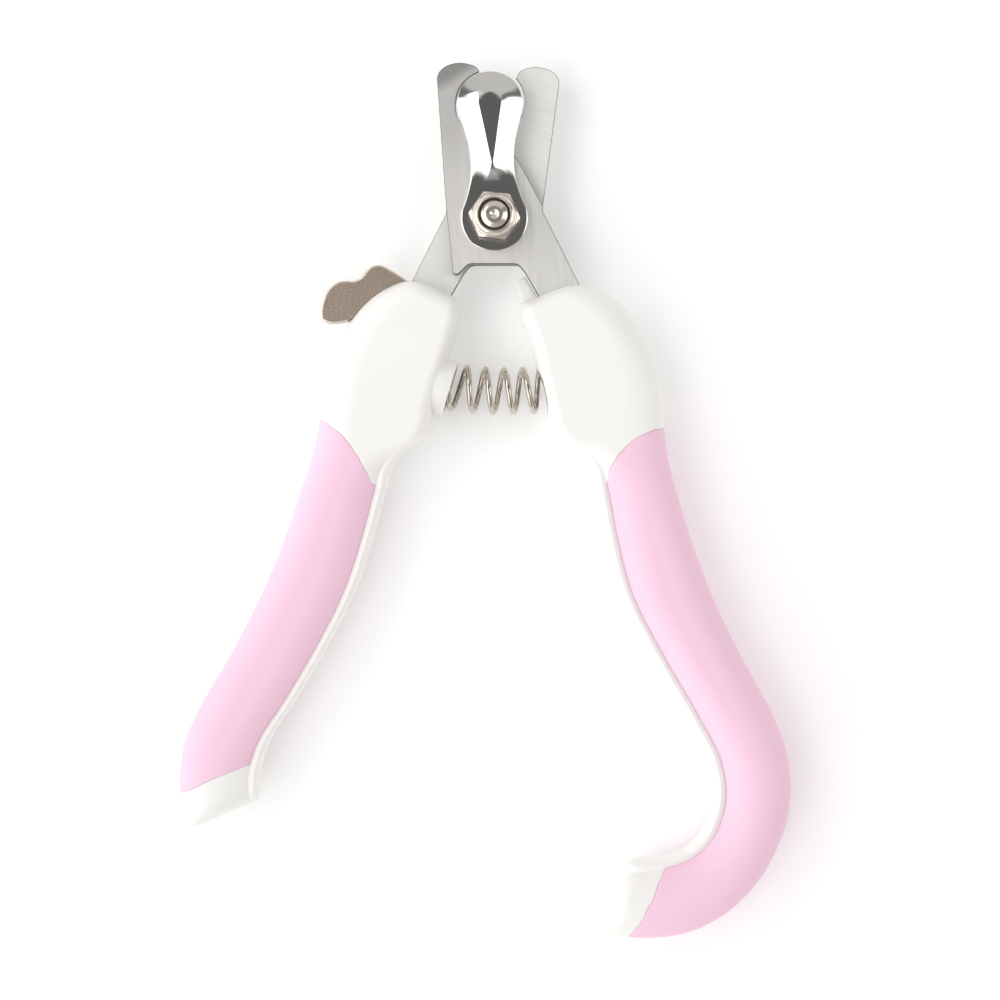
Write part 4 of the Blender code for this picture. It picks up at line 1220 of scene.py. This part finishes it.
def build_nut(material):
    """The lock nut: a hexagon chamfered above and below, and a rolled collar that holds the nylon ring."""
    sides = 144
    corner = NUT_FLAT / math.cos(math.pi / 6)
    low, hexed = NUT_LOW - 0.46 * MM, NUT_TOP - 1.5 * MM
    bore, cove, lip = 2.62 * MM, 0.22 * MM, 0.08 * MM
    loops = []
    for start, z, rise, ways in ((NUT_FLAT - 0.1 * MM, low, 0.34 * MM, np.linspace(0.0, 1.0, 7)),
                                 (NUT_FLAT - 0.02 * MM, hexed, -0.42 * MM, np.linspace(1.0, 0.0, 8))):
        loops += [nut_loop(start + t * (corner - start), z + rise * t, sides) for t in ways]
    rings = arc((COLLAR + cove, hexed + cove), cove, 270, 180, 5)
    width, height = COLLAR_ROUND
    for t in np.linspace(0.0, math.pi / 2, 12):
        rings.append((COLLAR - width * (1 - math.cos(t)), NUT_TOP - height * (1 - math.sin(t))))
    rings += arc((RING_SEAT + lip, NUT_TOP - lip), lip, 90, 180, 4)
    rings += [(RING_SEAT, INSERT_LOW), (bore, INSERT_LOW), (bore, low)]
    angles = [2 * math.pi * i / sides + NUT_TURN for i in range(sides)]
    turned = [[(r * math.cos(a), r * math.sin(a), z) for a in angles] for r, z in rings]
    shell = bmesh.new()
    rows = [[shell.verts.new(point) for point in loop] for loop in loops + turned]
    for one, two in zip(rows, rows[1:] + rows[:1]):
        bridge(shell, one, two)
    made = piece("pivot_nut_nickel", mesh_from(shell, "pivot_nut_nickel"), [material], 28.0)
    return place_on(made, "left_handle", "nickel", "pivot_nut")


def build_ring(name, inner, outer, low, high, material, slot, node, edge=0.08 * MM):
    """A turned ring with its four rims eased."""
    profile = [(inner, low + edge), (inner, high - edge), (inner + edge, high), (outer - edge, high),
               (outer, high - edge), (outer, low + edge), (outer - edge, low), (inner + edge, low)]
    made = piece(name, lathe(name, profile, 96, closed=True), [material], 30.0)
    return place_on(made, "left_handle", slot, node)


# ------------------------------------------------------------------ spring

def build_spring(material):
    """A coil spring with closed ends, bowed between its two seats."""
    settings = bpy.context.scene.clipper_spring
    turns, places = np.array(SPRING_TURNS).T
    along = np.linspace(turns[0], turns[-1], 64 * int(turns[-1] - turns[0]) + 1)
    reach = follow(np.stack([places * MM, places * 0.0], axis=1), turns, along)[:, 0]
    coil, wire = (settings.outer - settings.wire) / 2, settings.wire / 2
    path = [
        on_spring(distance, coil * math.cos(2 * math.pi * turn), coil * math.sin(2 * math.pi * turn))
        for turn, distance in zip(along, reach)
    ]
    shell = bmesh.new()
    loops = []
    sides = 14
    for i, point in enumerate(path):
        ahead = (path[min(i + 1, len(path) - 1)] - path[max(i - 1, 0)]).normalized()
        centre = on_spring(reach[i])
        out = point - centre
        out = (out - ahead * out.dot(ahead)).normalized()
        side = ahead.cross(out)
        loops.append([
            shell.verts.new(point + out * wire * math.cos(a) + side * wire * math.sin(a))
            for a in (2 * math.pi * k / sides for k in range(sides))
        ])
    for one, two in zip(loops, loops[1:]):
        bridge(shell, one, two)
    shell.faces.new(loops[0])
    shell.faces.new(loops[-1])
    made = piece("return_spring_wire", mesh_from(shell, "return_spring_wire"), [material], 60.0)
    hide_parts("return_spring")
    ends = on_spring(-SPRING_HALF + 3 * MM), on_spring(SPRING_HALF - 3 * MM)
    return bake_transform(made)


# ------------------------------------------------------------------ lock lever

def build_lever(face, edge, wall):
    """The stamped lock lever: its rims rubbed round, with a painted highlight on their bevel and painted
    shade on their steep walls.
    """
    hub = arc(LEVER_CENTRE, 3.4 * MM, 62.0, -98.0, 28)
    outline = join_runs(smooth(metres(LEVER_TAB), 5), hub)
    made = piece("lock_lever_nickel", plate("lock_lever", outline, FRONT_LOW, FRONT_TOP, 0.42 * MM, 5),
                 [face, edge, wall])
    boolean(made, pin_room("lever_pin"))
    for polygon in made.data.polygons:
        level = abs(polygon.normal.z)
        # Bevel: rubbed finish with a painted highlight; steep walls: dark wall finish, painted shade.
        polygon.material_index = 0 if level > 0.985 else 1 if level > 0.3 else 2
    refine(made)
    return place_on(made, "lever", "lever_nickel", "lock_lever")


# ------------------------------------------------------------------ stage

def build_world():
    """A tent with a dark opening overhead: grey walls with white and dark panels."""
    world = bpy.data.worlds.new("tent")
    world.use_nodes = True
    bpy.context.scene.world = world
    tent = Graph(world.node_tree, "Generated")
    x, y, z = (tent.axis(letter) for letter in "XYZ")
    flat = (x * x + y * y) ** 0.5 + 0.0001
    wall = WALL
    for way, reach, level in PANELS:
        toward = (x * math.cos(math.radians(way)) + y * math.sin(math.radians(way))) / flat
        outer, inner = reach + PANEL_SOFTNESS, reach - min(PANEL_SOFTNESS, reach)
        ends = [math.cos(math.radians(angle)) for angle in (outer, inner)]
        wall = wall + tent.step(toward, *ends) * (level - wall)
    level = wall + tent.step(z, *OPENING) * (ZENITH - wall)
    background = world.node_tree.nodes["Background"]
    tent.feed(background.inputs["Strength"], level)
    background.inputs["Color"].default_value = (1.0, 0.982, 0.965, 1.0)


def build_stage():
    settings = bpy.context.scene.clipper_stage
    scene = bpy.context.scene
    build_world()

    bpy.ops.mesh.primitive_plane_add(size=3.0, location=(0.0, -0.05, -0.02 * MM))
    floor = bpy.context.object
    floor.name = "floor"
    finish = Finish("paper", Specular_IOR_Level=0.1, Emission_Color=(1.0, 1.0, 1.0, 1.0),
                    Emission_Strength=settings.glow)
    fibre = finish.noise(420.0, 3.0)
    finish.paint(Base_Color=finish.blend(fibre, (0.925, 0.925, 0.925), (0.945, 0.945, 0.945)),
                 Roughness=0.8 + fibre * 0.1)
    floor.data.materials.append(finish.material)

    lamps = [("key", (-0.42, 0.30, 0.46), 0.34, settings.key),
             ("fill", (-0.04, 0.02, 0.60), 0.55, settings.fill)]
    for name, place, size, power in lamps:
        light = bpy.data.lights.new(name, "AREA")
        light.shape = "DISK"
        light.size = size
        light.energy = power
        lamp = bpy.data.objects.new(name, light)
        scene.collection.objects.link(lamp)
        lamp.location = place
        lamp.rotation_euler = (Vector((0.0, -0.05, 0.0)) - lamp.location).to_track_quat("-Z", "Y").to_euler()
        lamp.visible_glossy = name == "key"

    camera = bpy.data.cameras.new("camera")
    camera.sensor_width = 36.0
    camera.lens = 36.0 * settings.distance / settings.width
    eye = bpy.data.objects.new("camera", camera)
    scene.collection.objects.link(eye)
    eye.location = (0.0010, -0.0504, MID + settings.distance)
    scene.camera = eye
    scene.view_settings.view_transform = "Standard"


# ------------------------------------------------------------------ operators

class CLIPPER_OT_stage(bpy.types.Operator):
    """Build the floor, the lights and the camera"""
    bl_idname = "clipper.stage"
    bl_label = "Stage"

    def execute(self, context):
        build_stage()
        return {"FINISHED"}


class CLIPPER_OT_hard_plastic(bpy.types.Operator):
    """Build the hard halves of both handles"""
    bl_idname = "clipper.hard_plastic"
    bl_label = "Hard plastic"

    def execute(self, context):
        material = hard_plastic()
        for name in SIDES:
            build_hard_halves(name, material)
        return {"FINISHED"}


class CLIPPER_OT_soft_grips(bpy.types.Operator):
    """Build the soft grips of both handles"""
    bl_idname = "clipper.soft_grips"
    bl_label = "Soft grips"

    def execute(self, context):
        material = soft_grip()
        for name in SIDES:
            build_grip(name, material)
        return {"FINISHED"}


class CLIPPER_OT_blades(bpy.types.Operator):
    """Build the two blades"""
    bl_idname = "clipper.blades"
    bl_label = "Blades"

    def execute(self, context):
        wall, edge = stamped_wall_and_shade(), ground_edge()
        build_blade("front_blade", 1.0, FRONT_JAW, FRONT_JAW_END, FRONT_MOUTH, FRONT_MOUTH_SPAN,
                    MID + 0.02 * MM, FRONT_TOP, [brushed_steel("front_steel", 94.0, 1.0, 0.78), wall, edge])
        build_blade("rear_blade", -1.0, REAR_JAW, REAR_JAW_END, REAR_MOUTH, REAR_MOUTH_SPAN,
                    REAR_LOW, MID - 0.02 * MM, [brushed_steel("rear_steel", -21.0, 0.0, 0.42), wall, edge])
        return {"FINISHED"}


class CLIPPER_OT_guard(bpy.types.Operator):
    """Build the nail guard"""
    bl_idname = "clipper.guard"
    bl_label = "Guard"

    def execute(self, context):
        build_guard(polished_steel(), stamped_wall_and_shade())
        return {"FINISHED"}


class CLIPPER_OT_pivot(bpy.types.Operator):
    """Build the pivot bolt, its washer, the lock nut and its nylon ring"""
    bl_idname = "clipper.pivot"
    bl_label = "Pivot"

    def execute(self, context):
        material = nickel_plate()
        build_bolt(material)
        build_nut(material)
        build_ring("nut_insert_nylon", RING_INNER, RING_OUTER, INSERT_LOW, INSERT_TOP,
                   nylon(), "nylon", "nut_insert")
        build_ring("head_washer_nickel", WASHER_INNER, WASHER_OUTER, HEAD_TOP + 0.02 * MM,
                   REAR_LOW - 0.02 * MM, material, "nickel", "head_washer", 0.15 * MM)
        return {"FINISHED"}


class CLIPPER_OT_spring(bpy.types.Operator):
    """Build the return spring"""
    bl_idname = "clipper.spring"
    bl_label = "Return spring"

    def execute(self, context):
        # The wire's tone 0.74 paints it darker: painted shade standing in for its dark reflections.
        build_spring(nickel_plate("spring_wire", 0.12, 1.6, 1.0, 0.74))
        return {"FINISHED"}


class CLIPPER_OT_lever(bpy.types.Operator):
    """Build the lock lever and finish its washer and all the pins"""
    bl_idname = "clipper.lever"
    bl_label = "Lock lever and pins"

    def execute(self, context):
        build_lever(lever_face(), lever_edge_rubbed_and_highlit(), stamped_wall_and_shade())
        pins = nickel_plate("pin_steel", 0.25)
        for node in PINS:
            packed = frame["nodes"][node]
            packed.data.materials.clear()
            packed.data.materials.append(pins)
        return {"FINISHED"}


class CLIPPER_PT_panel(bpy.types.Panel):
    """Settings and steps of the nail clipper"""
    bl_idname = "CLIPPER_PT_panel"
    bl_label = "Pet nail clipper"
    bl_space_type = "VIEW_3D"
    bl_region_type = "UI"
    bl_category = "Nail clipper"

    def draw(self, context):
        for holder, settings in SETTINGS.items():
            box = self.layout.box()
            for key in settings.__annotations__:
                box.prop(getattr(context.scene, holder), key)
        for step in STEPS:
            self.layout.operator(step.bl_idname)


SETTINGS = {
    "clipper_handles": HandleSettings,
    "clipper_steel": SteelSettings,
    "clipper_spring": SpringSettings,
    "clipper_stage": StageSettings,
}
STEPS = (
    CLIPPER_OT_stage, CLIPPER_OT_hard_plastic, CLIPPER_OT_soft_grips, CLIPPER_OT_blades, CLIPPER_OT_guard,
    CLIPPER_OT_pivot, CLIPPER_OT_spring, CLIPPER_OT_lever,
)


def register():
    for kind in (*SETTINGS.values(), *STEPS, CLIPPER_PT_panel):
        bpy.utils.register_class(kind)
    for holder, settings in SETTINGS.items():
        setattr(bpy.types.Scene, holder, bpy.props.PointerProperty(type=settings))


def unregister():
    for holder in SETTINGS:
        delattr(bpy.types.Scene, holder)
    for kind in (CLIPPER_PT_panel, *reversed(STEPS), *reversed(SETTINGS.values())):
        bpy.utils.unregister_class(kind)


def main():
    register()
    bpy.ops.clipper.stage()
    bpy.ops.clipper.hard_plastic()
    bpy.ops.clipper.soft_grips()
    bpy.ops.clipper.blades()
    bpy.ops.clipper.guard()
    bpy.ops.clipper.pivot()
    bpy.ops.clipper.spring()
    bpy.ops.clipper.lever()


if __name__ == "__main__":
    main()
